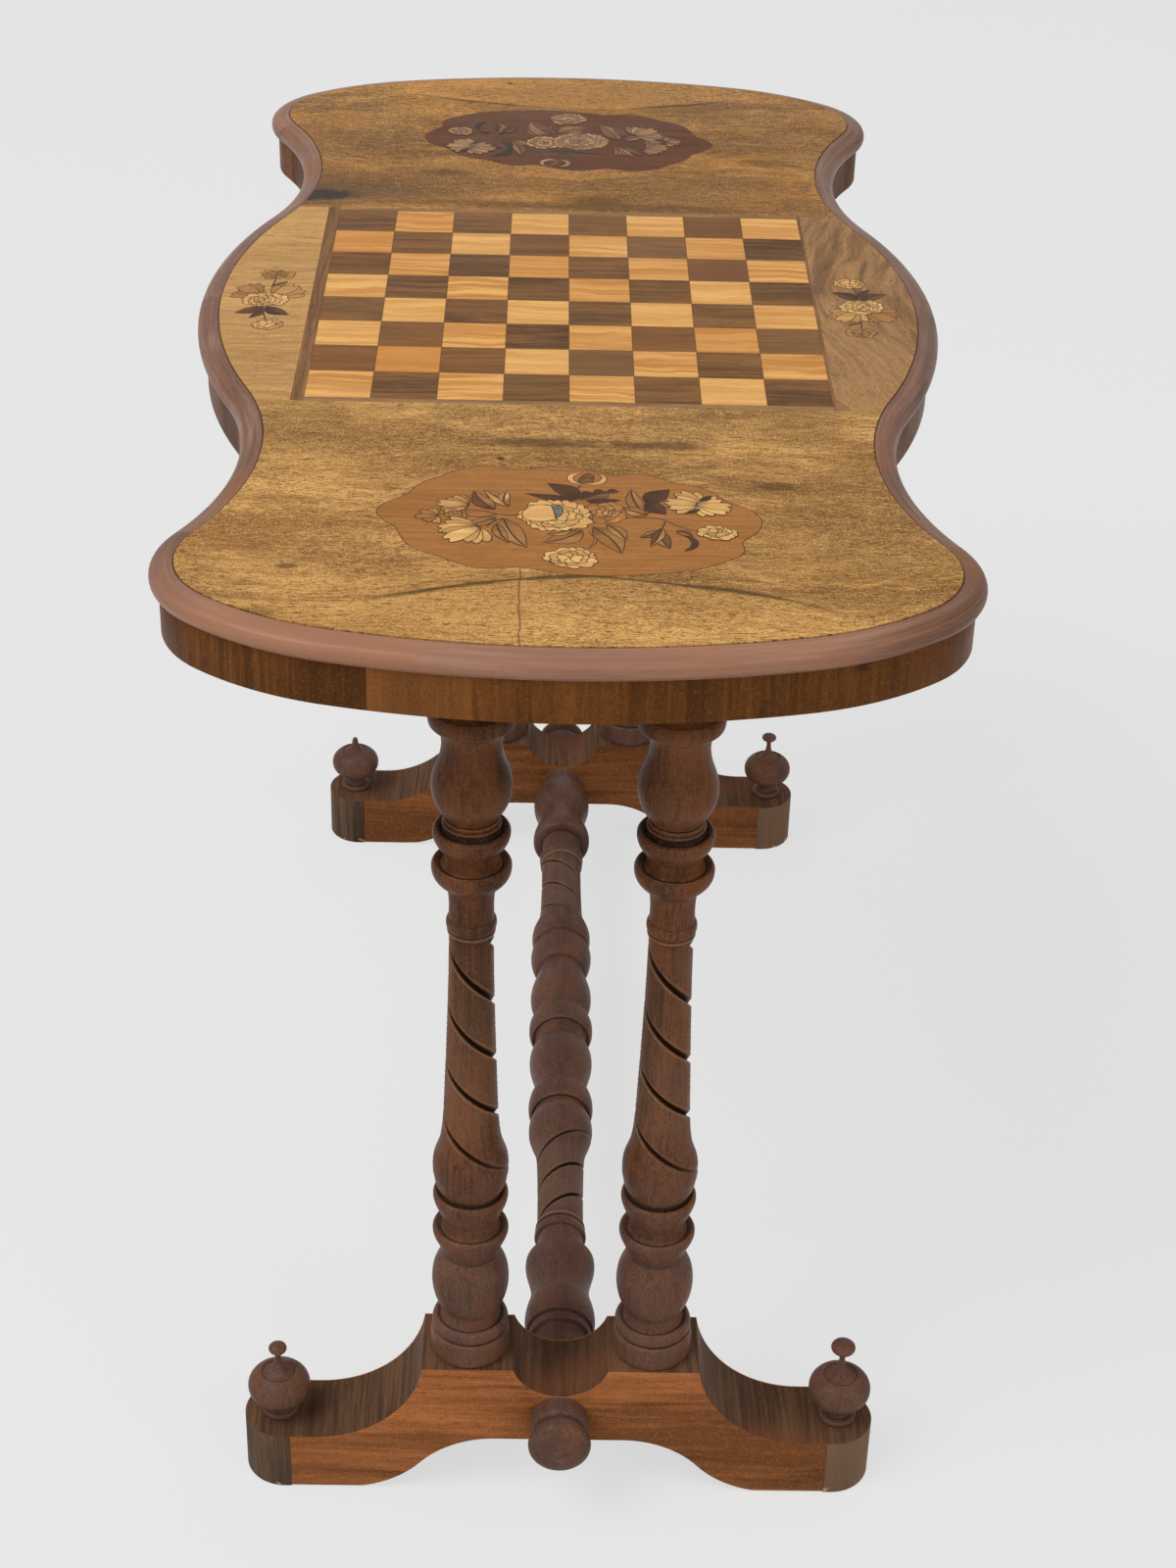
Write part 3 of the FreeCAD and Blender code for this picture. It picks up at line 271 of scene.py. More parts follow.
def apply_modifier(piece, kind, **settings):
    """Adds a modifier with these settings, and makes it final"""
    take(piece)
    bpy.ops.object.modifier_add(type=kind)
    modifier = piece.modifiers[-1]
    for name, value in settings.items():
        setattr(modifier, name, value)
    bpy.ops.object.modifier_apply(modifier=modifier.name)


def close_and_smooth(item, crease=32):
    """Merges doubles, closes open ends, turns the faces outwards and smooths all but the creases"""
    merge_doubles(item)
    select_mesh("DESELECT")
    bpy.ops.mesh.select_non_manifold(extend=False, use_wire=False, use_multi_face=False, use_non_contiguous=False,
                                     use_verts=False)
    bpy.ops.mesh.fill_holes(sides=0)
    face_outwards(item)
    smooth(crease)


def set_knots(spline, knots):
    """Gives a Bezier spline its knots (x, y, z, and a fourth number at a corner)"""
    for point, (x, y, z, *corner) in zip(spline.bezier_points, knots):
        point.handle_left_type = point.handle_right_type = "VECTOR" if corner else "AUTO"
        point.co = (x, y, z)


def draw_line(name, knots, detail=5, closed=False):
    """Draws a Bezier line through knots (x, z) in the XZ plane, and turns it into edges"""
    deselect_all()
    bpy.ops.curve.primitive_bezier_curve_add(location=(0, 0, 0))
    line = bpy.context.object
    line.name = name
    line.data.resolution_u = detail
    spline = line.data.splines[0]
    spline.bezier_points.add(len(knots) - 2)
    set_knots(spline, [(x, 0, z, *corner) for x, z, *corner in knots])
    spline.use_cyclic_u = closed
    bpy.ops.object.convert(target="MESH")
    line = bpy.context.object
    line.data.name = name
    return line


def spin(item, angle, steps):
    edit(item)
    bpy.ops.mesh.spin(steps=steps, angle=angle, center=(0, 0, 0), axis=(0, 0, 1), use_auto_merge=True)
    to_mode("OBJECT")


def spin_outline(name, outline, detail=5):
    """Spins an outline of (height, radius) in millimetres round the Z axis"""
    piece = draw_line(name, [(radius * MM, height * MM, *corner) for height, radius, *corner in outline], detail)
    spin(piece, 2 * math.pi, shape().lathe_steps)
    return piece


def turn_on_lathe(name, outline, detail=5):
    piece = spin_outline(name, outline, detail)
    close_and_smooth(piece)
    return piece


def groove_depth_at(offset):
    """Depth of a carved V at a distance round the shaft: a long flank and a steep one"""
    long_flank, steep_flank = 5.4 * MM, 2.0 * MM
    reach = long_flank if offset < 0 else steep_flank
    return max(0.0, 1 - abs(offset) / reach)


def carve_twist(piece, low, high, lead, phase):
    """Cuts two straight grooves down a turned shaft, and twists that length of it to the left"""
    hand, core, run_in, run_out = -1, 5 * MM, 34 * MM, 1.5 * MM
    low, high = low * MM, high * MM
    heights = [vertex.co.z for vertex in piece.data.vertices]
    bottom, top = min(heights), max(heights)
    # The attribute "groove" keeps how deep each point is cut; the finish darkens the grooves by it, as dirt and painted
    # shade.
    groove_dirt_and_shade = piece.data.attributes.new("groove", "FLOAT", "POINT")
    for vertex, value in zip(piece.data.vertices, groove_dirt_and_shade.data):
        fade = min((vertex.co.z - low) / run_in, (high - vertex.co.z) / run_out, 1)
        radius = math.hypot(vertex.co.x, vertex.co.y)
        if fade <= 0 or radius < core:
            continue
        angle = math.atan2(vertex.co.y, vertex.co.x)
        offset = min(((angle - start + math.pi) % (2 * math.pi) - math.pi for start in (0, math.pi)), key=abs)
        depth = groove_depth_at(offset * radius * hand) * fade
        value.value = depth
        vertex.co.x *= 1 - shape().groove_depth * depth / radius
        vertex.co.y *= 1 - shape().groove_depth * depth / radius
    apply_modifier(piece, "SIMPLE_DEFORM", deform_method="TWIST", deform_axis="Z",
                   angle=hand * 2 * math.pi * (high - low) / lead,
                   limits=((low - bottom) / (top - bottom), (high - bottom) / (top - bottom)))
    turn(piece, phase, "Z")
    face_outwards(piece)
    smooth()


def duplicate(piece, name):
    """A copy with a mesh of its own"""
    take(piece)
    bpy.ops.object.duplicate(linked=False)
    return named(name)


def named(name):
    """Names the active object and its mesh"""
    piece = bpy.context.object
    piece.name = piece.data.name = name
    return piece


def keep_transform():
    bpy.ops.object.transform_apply(location=True, rotation=True, scale=True)


def move(piece, place):
    take(piece)
    bpy.ops.transform.translate(value=place)
    keep_transform()


def turn(piece, angle, axis):
    take(piece)
    bpy.ops.transform.rotate(value=angle, orient_axis=axis, center_override=(0, 0, 0))
    keep_transform()


def lay_down(piece):
    """Turns a piece that was made upright, so that it points along the table"""
    turn(piece, TURN_WAY * -math.pi / 2, "X")


def flip(piece, x_side, y_side):
    """Mirrors a piece across the table, along it, or both"""
    take(piece)
    bpy.ops.transform.resize(value=(x_side, y_side, 1), center_override=(0, 0, 0))
    keep_transform()
    face_outwards(piece)


def join(pieces, name):
    take(*pieces)
    if len(pieces) > 1:
        bpy.ops.object.join()
    return named(name)


def remove(piece):
    take(piece)
    bpy.ops.object.delete()


def dress(piece, *materials):
    """Gives a piece its materials"""
    piece.data.materials.clear()
    for material in materials:
        piece.data.materials.append(material)


def settle(piece, slot, *nodes):
    """Hands a finished piece over to the frame"""
    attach(piece, ROOT)
    if nodes:
        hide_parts(*nodes)


# ------------------------------------------------------------------ the serpentine outline

def outline_quarter():
    """The tangent arcs from the middle of the far end to the middle of the right side.

    Each is (centre, radius, first angle, last angle, way), where way is 1 if it bulges and -1 if it is hollow.
    """
    end_radius, shoulder, belly_radius, end_spread = 0.566, 0.180, 0.406, 0.59
    lobe = Vector((0.2315, TOP_HALF_LENGTH - 0.2315 * 0.44))
    waist = Vector((0.194, 0.252))
    belly = Vector((BELLY_HALF_WIDTH, 0))
    across = math.asin(lobe.x * end_spread / end_radius)
    end_centre = Vector((0, TOP_HALF_LENGTH - end_radius))
    shoulder_centre = end_centre + Vector((math.sin(across), math.cos(across))) * (end_radius - shoulder)
    reach = lobe - shoulder_centre
    corner = (shoulder ** 2 - reach.length_squared) / (2 * (shoulder - reach.x))
    corner_centre = lobe - Vector((corner, 0))
    towards = corner_centre - shoulder_centre
    corner_turn = math.atan2(towards.y, towards.x)
    upper, lower = lobe - waist, belly - waist
    upper_sum, lower_sum = upper.length_squared / (2 * upper.x), lower.length_squared / (2 * lower.x)
    upper_turn, lower_turn = math.asin(upper.y / upper_sum), math.asin(-lower.y / lower_sum)
    upper_hollow, lower_hollow = upper_sum - corner, lower_sum - belly_radius
    half = math.pi
    return [
        (end_centre, end_radius, half / 2, half / 2 - across, 1),
        (shoulder_centre, shoulder, half / 2 - across, corner_turn, 1),
        (corner_centre, corner, corner_turn, -upper_turn, 1),
        (waist + Vector((upper_hollow, 0)), upper_hollow, half - upper_turn, half, -1),
        (waist + Vector((lower_hollow, 0)), lower_hollow, half, half + lower_turn, -1),
        (belly - Vector((belly_radius, 0)), belly_radius, lower_turn, 0.0, 1),
    ]


def run_section(name, section, arcs, level, start=0.0):
    """Carries a closed section (out and height, in millimetres) round some of the outline's arcs.

    The attribute "grain" keeps each point's place along the run, out from it, and up.
    """
    step_length, least_steps = 5 * MM, 4
    stretches = []
    along = start
    for number, (centre, radius, first, last, way) in enumerate(arcs):
        knots = [(radius + way * out * MM, height * MM, *corner) for out, height, *corner in section]
        stretch = draw_line(f"{name}_{number}", knots, 4, closed=True)
        length = abs(last - first) * radius
        spin(stretch, SPIN_WAY * (last - first), max(least_steps, round(length / step_length)))
        grain = stretch.data.attributes.new("grain", "FLOAT_VECTOR", "POINT")
        for vertex, value in zip(stretch.data.vertices, grain.data):
            place, out = vertex.co, way * (math.hypot(vertex.co.x, vertex.co.y) - radius)
            value.vector = (along + abs(math.atan2(place.y, place.x)) * radius, out, place.z)
        turn(stretch, TURN_WAY * first, "Z")
        move(stretch, (centre.x, centre.y, level))
        along += length
        stretches.append(stretch)
    return join(stretches, name)


# With no window, both operators count their angles clockwise.
SPIN_WAY, TURN_WAY = -1, -1


# ------------------------------------------------------------------ finishes

class Recipe:
    """A material that is put together node by node: tint() and speckle() lie over the colour so far"""

    def __init__(self, name, roughness=0.42, coat=0.05, coat_roughness=0.3, specular=0.03):
        self.material = bpy.data.materials.new(name)
        self.material.use_nodes = True
        self.tree = self.material.node_tree
        self.surface = self.tree.nodes["Principled BSDF"]
        self.colour = self.pores = None
        for socket, value in (("Roughness", roughness), ("Coat Weight", coat), ("Coat Roughness", coat_roughness),
                              ("Specular IOR Level", specular)):
            self.surface.inputs[socket].default_value = value

    def add(self, kind, inputs=(), **settings):
        node = self.tree.nodes.new("ShaderNode" + kind)
        for name, value in settings.items():
            setattr(node, name, value)
        for socket, value in dict(inputs).items():
            self.feed(node.inputs[socket], value)
        return node

    def feed(self, socket, value):
        if isinstance(value, bpy.types.NodeSocket):
            self.tree.links.new(value, socket)
        elif socket.type == "RGBA" and len(value) == 3:
            socket.default_value = (*value, 1)
        else:
            socket.default_value = value

    def place(self, attribute=None):
        """Where a point lies: in the object, or in the attribute that follows its run"""
        if attribute:
            return self.add("Attribute", attribute_name=attribute).outputs["Vector"]
        return self.add("TexCoord").outputs["Object"]

    def scaled(self, vector, scale, shift=(0, 0, 0)):
        return self.add("Mapping", {"Vector": vector, "Scale": scale, "Location": shift}).outputs[0]

    def noise(self, vector, scale=1.0, detail=3.0, roughness=0.5, distortion=0.0, output="Fac"):
        return self.add("TexNoise", {"Vector": vector, "Scale": scale, "Detail": detail, "Roughness": roughness,
                                     "Distortion": distortion}).outputs[output]

    def stretched(self, vector, scale, detail, roughness=0.5, shift=(0, 0, 0)):
        """Noise that is longer one way than the other"""
        return self.noise(self.scaled(vector, scale, shift), 1, detail, roughness)

    def math(self, operation, a, b=0.5):
        return self.add("Math", {0: a, 1: b}, operation=operation).outputs[0]

    def times(self, a, b):
        return self.math("MULTIPLY", a, b)

    def plus(self, a, b):
        return self.math("ADD", a, b)

    def minus(self, a, b):
        return self.math("SUBTRACT", a, b)

    def size(self, a):
        return self.math("ABSOLUTE", a, 0.0)

    def vector_math(self, operation, a, b=(0, 0, 0)):
        return self.add("VectorMath", {0: a, 1: b}, operation=operation).outputs[0]

    def length(self, vector):
        return self.add("VectorMath", {0: vector}, operation="LENGTH").outputs["Value"]

    def part(self, vector, letter):
        return self.add("SeparateXYZ", {0: vector}).outputs[letter]

    def vector(self, x, y, z=0.0):
        return self.add("CombineXYZ", {"X": x, "Y": y, "Z": z}).outputs[0]

    def levels(self, value, low, high, start=0.0, end=1.0):
        """Maps low..high to start..end, and holds it there beyond"""
        return self.add("MapRange", {"Value": value, "From Min": low, "From Max": high, "To Min": start,
                                     "To Max": end}, interpolation_type="SMOOTHSTEP").outputs[0]

    def mix(self, factor, a, b):
        node = self.add("Mix", data_type="RGBA")
        colours = [socket for socket in node.inputs if socket.type == "RGBA"]
        for socket, value in zip((node.inputs[0], *colours), (factor, a, b)):
            self.feed(socket, value)
        return next(socket for socket in node.outputs if socket.type == "RGBA")

    def tint(self, factor, colour):
        self.colour = self.mix(factor, self.colour, colour)

    def speckle(self, scale, light, dark, share):
        """Fine grit over the wood, part of it darker and part of it paler"""
        grit = self.noise(self.place(), scale, 3, 0.8)
        self.tint(self.levels(grit, 0.52, 0.66, 0, share), dark)
        self.tint(self.levels(grit, 0.47, 0.34, 0, share * 0.8), light)

    def warped(self, vector, scale, strength):
        """Bends a pattern by a slow noise"""
        slow = self.noise(vector, scale, 2.0, output="Color")
        offset = self.vector_math("SUBTRACT", slow, (0.5, 0.5, 0.5))
        push = self.add("VectorMath", {0: offset, "Scale": strength}, operation="SCALE").outputs[0]
        return self.vector_math("ADD", vector, push)

    def stain(self, vector, x, y, width, depth, soft, ragged, share, colour):
        """A stain on the top with a soft and ragged edge"""
        offset = self.vector_math("SUBTRACT", vector, (x, y, SURFACE))
        local = self.vector_math("DIVIDE", offset, (width, depth, 0.01))
        fray = self.times(self.minus(self.noise(vector, 90, 4), 0.5), ragged * 2)
        inside = self.levels(self.plus(self.length(local), fray), 1 - soft, 1 + soft, 1, 0)
        self.tint(self.times(inside, share), colour)

    def cells(self, vector, scale):
        return self.add("TexVoronoi", {"Vector": vector, "Scale": scale}).outputs

    def random_by_cell(self, vector):
        """A number of its own for each whole-numbered cell"""
        return self.add("TexWhiteNoise", {"Vector": self.vector_math("FLOOR", vector)}).outputs["Value"]

    def grain(self, vector, axis, light, dark, streak=260, pore_share=0.55, seed=0.0, figure=0.5):
        """The plain figure of a wood: slow tone, streaks along the grain, and short dark pores"""
        bent = self.warped(vector, 7, 0.012)

        def figured(source, along, across, detail, roughness=0.6):
            shift = (seed * 3.1, seed * 7.7, seed * 5.3)
            return self.stretched(source, grain_scale(axis, along, across), detail, roughness, shift)

        slow, streaks = figured(bent, 3, 22, 3), figured(bent, 9, streak, 5)
        fine = figured(vector, 60, 1500, 2)
        self.pores = self.levels(figured(vector, 130, 2100, 1, 0.5), 0.60, 0.72)
        tone = self.plus(self.times(slow, figure), self.times(streaks, 1 - figure))
        self.colour = self.mix(self.levels(tone, 0.36, 0.64), dark, light)
        self.tint(self.levels(fine, 0.3, 0.7, 0.0, 0.28), toned(dark, 0.55))
        self.tint(self.times(self.pores, pore_share), toned(dark, 0.35))

    def relief(self, height, distance, strength):
        bump = self.add("Bump", {"Height": height, "Distance": distance, "Strength": strength})
        self.feed(self.surface.inputs["Normal"], bump.outputs[0])

    def sink_pores(self, distance=0.0001, strength=0.4):
        self.relief(self.times(self.pores, -1.0), distance, strength)

    def dulled(self, vector, scale, detail, least, most):
        """A roughness that wanders between two values"""
        return self.levels(self.noise(vector, scale, detail), 0.3, 0.7, least, most)

    def done(self, roughness=None):
        self.feed(self.surface.inputs["Base Color"], self.colour)
        if roughness is not None:
            self.feed(self.surface.inputs["Roughness"], roughness)
        return self.material


def toned(colour, share):
    """A colour made darker, or lighter by a share above 1"""
    return tuple(channel * share for channel in colour[:3])


def toward(colour, other, share):
    return tuple(a + (b - a) * share for a, b in zip(colour[:3], other[:3]))


ALONG = {"X": (1, 0, 0), "Y": (0, 1, 0), "Z": (0, 0, 1)}


def grain_scale(axis, along, across):
    return tuple(along if lies else across for lies in ALONG[axis])


MATERIALS = {}


def made_once(maker):
    """Keeps each finish, so that pieces of the same wood share it"""
    def kept(*choices):
        key = (maker.__name__, *choices)
        if key not in MATERIALS:
            MATERIALS[key] = maker(*choices)
        return MATERIALS[key]
    return kept


@made_once
def turned_walnut(name, axis, seed, redness=0.0):
    """Columns, stretcher, finials and bosses: brown walnut with dirt and painted shade in the hollows, and wear and a
    painted highlight on the beads
    """
    wood = Recipe(name, 0.42, 0.06, 0.28, 0.06)
    place = wood.place()
    base = toward(finish().turned, (0.17, 0.062, 0.022), redness)
    light, dark = toned(base, 1.45), toned(base, 0.45)
    wood.grain(place, axis, light, dark, 420, 0.6, seed, 0.5)
    patches = wood.levels(wood.noise(place, 26, 4, 0.6), 0.50, 0.72, 0, 0.5)
    wood.tint(patches, toward(base, (0.125, 0.060, 0.042), 0.8))
    glow = wood.levels(wood.stretched(place, grain_scale(axis, 14, 40), 3, shift=(seed, 3, 1)), 0.48, 0.66, 0, 0.45)
    wood.tint(glow, (0.20, 0.066, 0.017))
    edge = wood.add("NewGeometry").outputs["Pointiness"]
    # Sharp beads paler, as wear and a painted highlight; hollows between the rings darker, as dirt and painted shade.
    wood.tint(wood.levels(edge, 0.510, 0.555, 0, 0.60), (0.30, 0.17, 0.09))
    wood.tint(wood.levels(edge, 0.498, 0.462, 0, 0.94), toned(dark, 0.25))
    low = wood.levels(wood.part(place, "Z"), 0.34, 0.15, 0, 0.52)
    wood.tint(wood.times(low, wood.levels(patches, 0, 0.3, 0.7, 1)), (0.128, 0.080, 0.068))
    wood.speckle(620, toward(light, (0.24, 0.15, 0.11), 0.6), toned(dark, 0.5), 0.42)
    # The twist grooves darker by their depth: dirt and painted shade.
    groove = wood.levels(wood.add("Attribute", attribute_name="groove").outputs["Fac"], 0.08, 0.5, 0, 0.90)
    wood.tint(groove, toned(dark, 0.3))
    wood.sink_pores(0.00012, 0.5)
    return wood.done(wood.dulled(place, 40, 3, 0.34, 0.52))


@made_once
def moulding_walnut(name):
    """Edge moulding: reddish walnut with its grain along the run, paler where hands have worn it, with a painted
    highlight on the near end and painted shade on its right side
    """
    wood = Recipe(name, 0.36, 0.16, 0.26, 0.08)
    place = wood.place("grain")
    base = finish().moulding
    light, dark = toned(base, 1.35), toned(base, 0.60)
    wood.grain(place, "X", light, dark, 420, 0.5, 0.3, 0.5)
    world = wood.place()
    worn = wood.levels(wood.stretched(place, (9, 120, 120), 4, 0.6), 0.46, 0.72, 0, 0.6)
    wood.tint(worn, toward(base, (0.42, 0.25, 0.18), 0.6))
    orange = wood.levels(wood.noise(world, 7, 2), 0.52, 0.66, 0, 0.55)
    wood.tint(orange, toward(base, (0.30, 0.10, 0.022), 0.8))
    across, along = wood.part(world, "X"), wood.part(world, "Y")
    # A painted highlight over the near end, fading out towards its right.
    sheen = wood.times(wood.levels(along, -0.36, -0.47), wood.levels(across, 0.23, 0.12))
    wood.tint(wood.times(sheen, 0.42), (0.46, 0.235, 0.150))
    # Painted shade: the right side of the moulding darker.
    wood.tint(wood.levels(across, 0.16, 0.26, 0, 0.38), toned(dark, 0.6))
    height = wood.part(place, "Z")
    joint = wood.levels(wood.part(place, "Y"), 0.0006, 0.0013, 0.9, 0)
    top = wood.levels(height, 0.0150, 0.0156)
    wood.tint(wood.times(joint, top), (0.03, 0.012, 0.005))
    nick = wood.levels(wood.stretched(place, (60, 400, 400), 3), 0.66, 0.70)
    low = wood.levels(height, 0.0050, 0.0030)
    wood.tint(wood.times(nick, low), (0.45, 0.30, 0.20))
    wood.sink_pores(0.00012, 0.5)
    return wood.done(wood.dulled(place, 30, 3, 0.30, 0.46))


@made_once
def frieze_walnut(name):
    """Frieze veneer: short pieces set side by side with their grain upright"""
    wood = Recipe(name, 0.42, 0.06, 0.3)
    place = wood.place("grain")
    base = finish().frieze
    light, dark = toned(base, 1.25), toned(base, 0.38)
    leaf = wood.random_by_cell(wood.scaled(wood.warped(place, 3, 0.004), (17, 0, 0), (0.4, 0, 0)))
    shift = wood.vector(0.0, wood.times(leaf, 3.0), leaf)
    wood.grain(wood.vector_math("ADD", place, shift), "Z", light, dark, 300, 0.5, 0.8, 0.55)
    wood.tint(wood.levels(leaf, 0.0, 1.0, 0.55, 0.0), toned(base, 0.36))
    wood.tint(wood.levels(leaf, 0.62, 0.9, 0.0, 0.45), (0.27, 0.10, 0.026))
    knots = wood.levels(wood.stretched(place, (26, 1, 60), 3, 0.6, (3, 0, 0)), 0.62, 0.74, 0, 0.8)
    wood.tint(knots, (0.035, 0.014, 0.005))
    wood.speckle(600, (0.30, 0.115, 0.030), toned(dark, 0.6), 0.35)
    wood.sink_pores()
    return wood.done(wood.dulled(place, 30, 3, 0.34, 0.5))


@made_once
def foot_veneer(name, seed):
    """Faces of the feet: orange-brown veneer with dark streaks along the foot"""
    wood = Recipe(name, 0.42, 0.06, 0.3)
    place = wood.place()
    base = finish().foot_face
    light, dark = toned(base, 1.45), toned(base, 0.55)
    wood.grain(place, "X", light, dark, 260, 0.5, seed, 0.6)
    bands = wood.stretched(wood.warped(place, 6, 0.03), (3, 80, 80), 4, shift=(seed, 0, 0))
    wood.tint(wood.levels(bands, 0.56, 0.68, 0, 0.62), toned(base, 0.28))
    wood.tint(wood.levels(wood.part(place, "Y"), 0.0, 0.3, 0, 0.40), toned(base, 0.28))
    wood.speckle(600, toward(light, (0.70, 0.34, 0.14), 0.4), toned(dark, 0.5), 0.32)
    side = wood.levels(wood.part(place, "X"), -0.12, -0.22, 0, 0.35)
    wood.tint(side, toned(base, 0.35))
    wood.sink_pores()
    return wood.done(wood.dulled(place, 30, 3, 0.34, 0.52))


@made_once
def foot_top(name, seed):
    """Tops of the feet: cross-grained, dull and dark"""
    wood = Recipe(name, 0.52, 0.0, 0.4)
    place = wood.place()
    base = finish().foot_top
    wood.grain(place, "Y", toned(base, 1.5), toned(base, 0.6), 300, 0.5, seed, 0.4)
    wood.tint(wood.levels(wood.noise(place, 11, 2), 0.5, 0.68, 0, 0.5), (0.19, 0.065, 0.03))
    wood.sink_pores()
    return wood.done()


@made_once
def foot_end(name, seed):
    """Rounded ends of the feet: upright grain, greenish with old dirt, chipped at the floor"""
    wood = Recipe(name, 0.52, 0.0, 0.4)
    place = wood.place()
    light, dark = (0.165, 0.100, 0.062), (0.052, 0.033, 0.021)
    wood.grain(place, "Z", light, dark, 260, 0.5, seed, 0.6)
    wood.tint(wood.levels(wood.part(place, "X"), -0.05, 0.05, 0, 0.55), (0.25, 0.145, 0.084))
    chips = wood.levels(wood.noise(place, 130, 3), 0.60, 0.63)
    low = wood.levels(wood.part(place, "Z"), 0.0055, 0.0025)
    wood.tint(wood.times(chips, low), (0.50, 0.32, 0.18))
    wood.sink_pores()
    return wood.done()


@made_once
def plain_timber(name, light, dark, axis, seed):
    """Sawn wood that is out of sight: bare and dusty"""
    wood = Recipe(name, 0.7, 0.0, 0.4, 0.3)
    place = wood.place()
    wood.grain(place, axis, light, dark, 180, 0.3, seed, 0.4)
    rings = wood.add("TexWave", {"Vector": wood.scaled(place, grain_scale(axis, 2, 60)), "Scale": 1.0,
                                 "Distortion": 6.0, "Detail": 2.0, "Detail Scale": 0.8}).outputs["Fac"]
    wood.tint(wood.levels(rings, 0.4, 1.0, 0, 0.35), dark)
    wood.relief(wood.stretched(place, grain_scale(axis, 30, 500), 3), 0.0003, 0.4)
    return wood.done()


def burr_figure(wood, place, shift, light, dark):
    """The swirled figure of golden burr walnut, with smoky clouds. Returns the colour of the smoke."""
    seed = shift[0]
    smoky = toward(dark, (0.14, 0.062, 0.017), 0.6)
    bent = wood.warped(wood.warped(place, 8, 0.05), 30, 0.012)
    flow = wood.stretched(bent, (6, 24, 1), 5, 0.62, shift)
    streaks = wood.stretched(bent, (34, 260, 1), 6, 0.70, shift)
    tone = wood.plus(wood.times(flow, 0.55), wood.times(streaks, 0.45))
    wood.colour = wood.mix(wood.levels(tone, 0.40, 0.58), dark, light)
    smoke = wood.stretched(bent, (6, 16, 1), 6, 0.66, (seed + 4, 2, 0))
    wood.tint(wood.levels(smoke, 0.52, 0.70, 0, 0.6), smoky)
    cloud = wood.stretched(bent, (4, 11, 1), 4, 0.6, (seed + 9, 1, 0))
    wood.tint(wood.levels(cloud, 0.48, 0.66, 0, 0.70), toward(dark, (0.34, 0.135, 0.030), 0.4))
    wood.tint(wood.levels(cloud, 0.48, 0.32, 0, 0.5), toward(light, (0.90, 0.52, 0.17), 0.5))
    return smoky


def burr_flecks(wood, place, shift, light, dark, smoky):
    """The flecks of burr walnut: freckles, ringed eyes, bright grains, dashes, pores and pin knots"""
    bright = toward(light, (1, 0.72, 0.34), 0.35)
    where = wood.levels(wood.noise(wood.scaled(place, (1, 1, 1), shift), 8, 2), 0.44, 0.60)
    burr = wood.noise(wood.warped(place, 80, 0.007), 230, 6, 0.74, 0.9)
    wood.tint(wood.times(wood.levels(burr, 0.50, 0.58), wood.plus(wood.times(where, 0.38), 0.10)), smoky)
    eyes = wood.cells(wood.warped(place, 90, 0.006), 170.0)["Distance"]
    ringed = wood.levels(wood.size(wood.minus(eyes, 0.45)), 0.14, 0.04)
    wood.tint(wood.times(ringed, wood.times(where, 0.26)), toned(dark, 0.6))
    shine = wood.times(wood.levels(burr, 0.46, 0.36), wood.plus(where, 0.35))
    wood.tint(wood.times(shine, 0.26), bright)
    dashes = wood.stretched(wood.warped(place, 60, 0.004), (120, 780, 1), 3, 0.7, shift)
    wood.tint(wood.levels(dashes, 0.53, 0.64, 0, 0.60), toned(dark, 0.72))
    wood.tint(wood.levels(dashes, 0.44, 0.34, 0, 0.34), bright)
    wood.speckle(640, toward(light, (1, 0.72, 0.34), 0.4), toned(dark, 0.75), 0.75)
    pores = wood.levels(wood.stretched(place, (190, 1200, 1), 1, 0.5, shift), 0.60, 0.66)
    wood.tint(wood.times(pores, 0.75), toned(dark, 0.35))
    knots = wood.cells(wood.warped(place, 40, 0.01), 24.0)
    chosen = wood.levels(wood.part(knots["Color"], "X"), 0.78, 0.82)
    pin = wood.times(wood.levels(knots["Distance"], 0.09, 0.03), chosen)
    wood.tint(wood.times(pin, 0.85), (0.05, 0.02, 0.008))
    wood.relief(wood.plus(wood.times(pores, -0.6), wood.times(burr, 0.3)), 0.00012, 0.35)


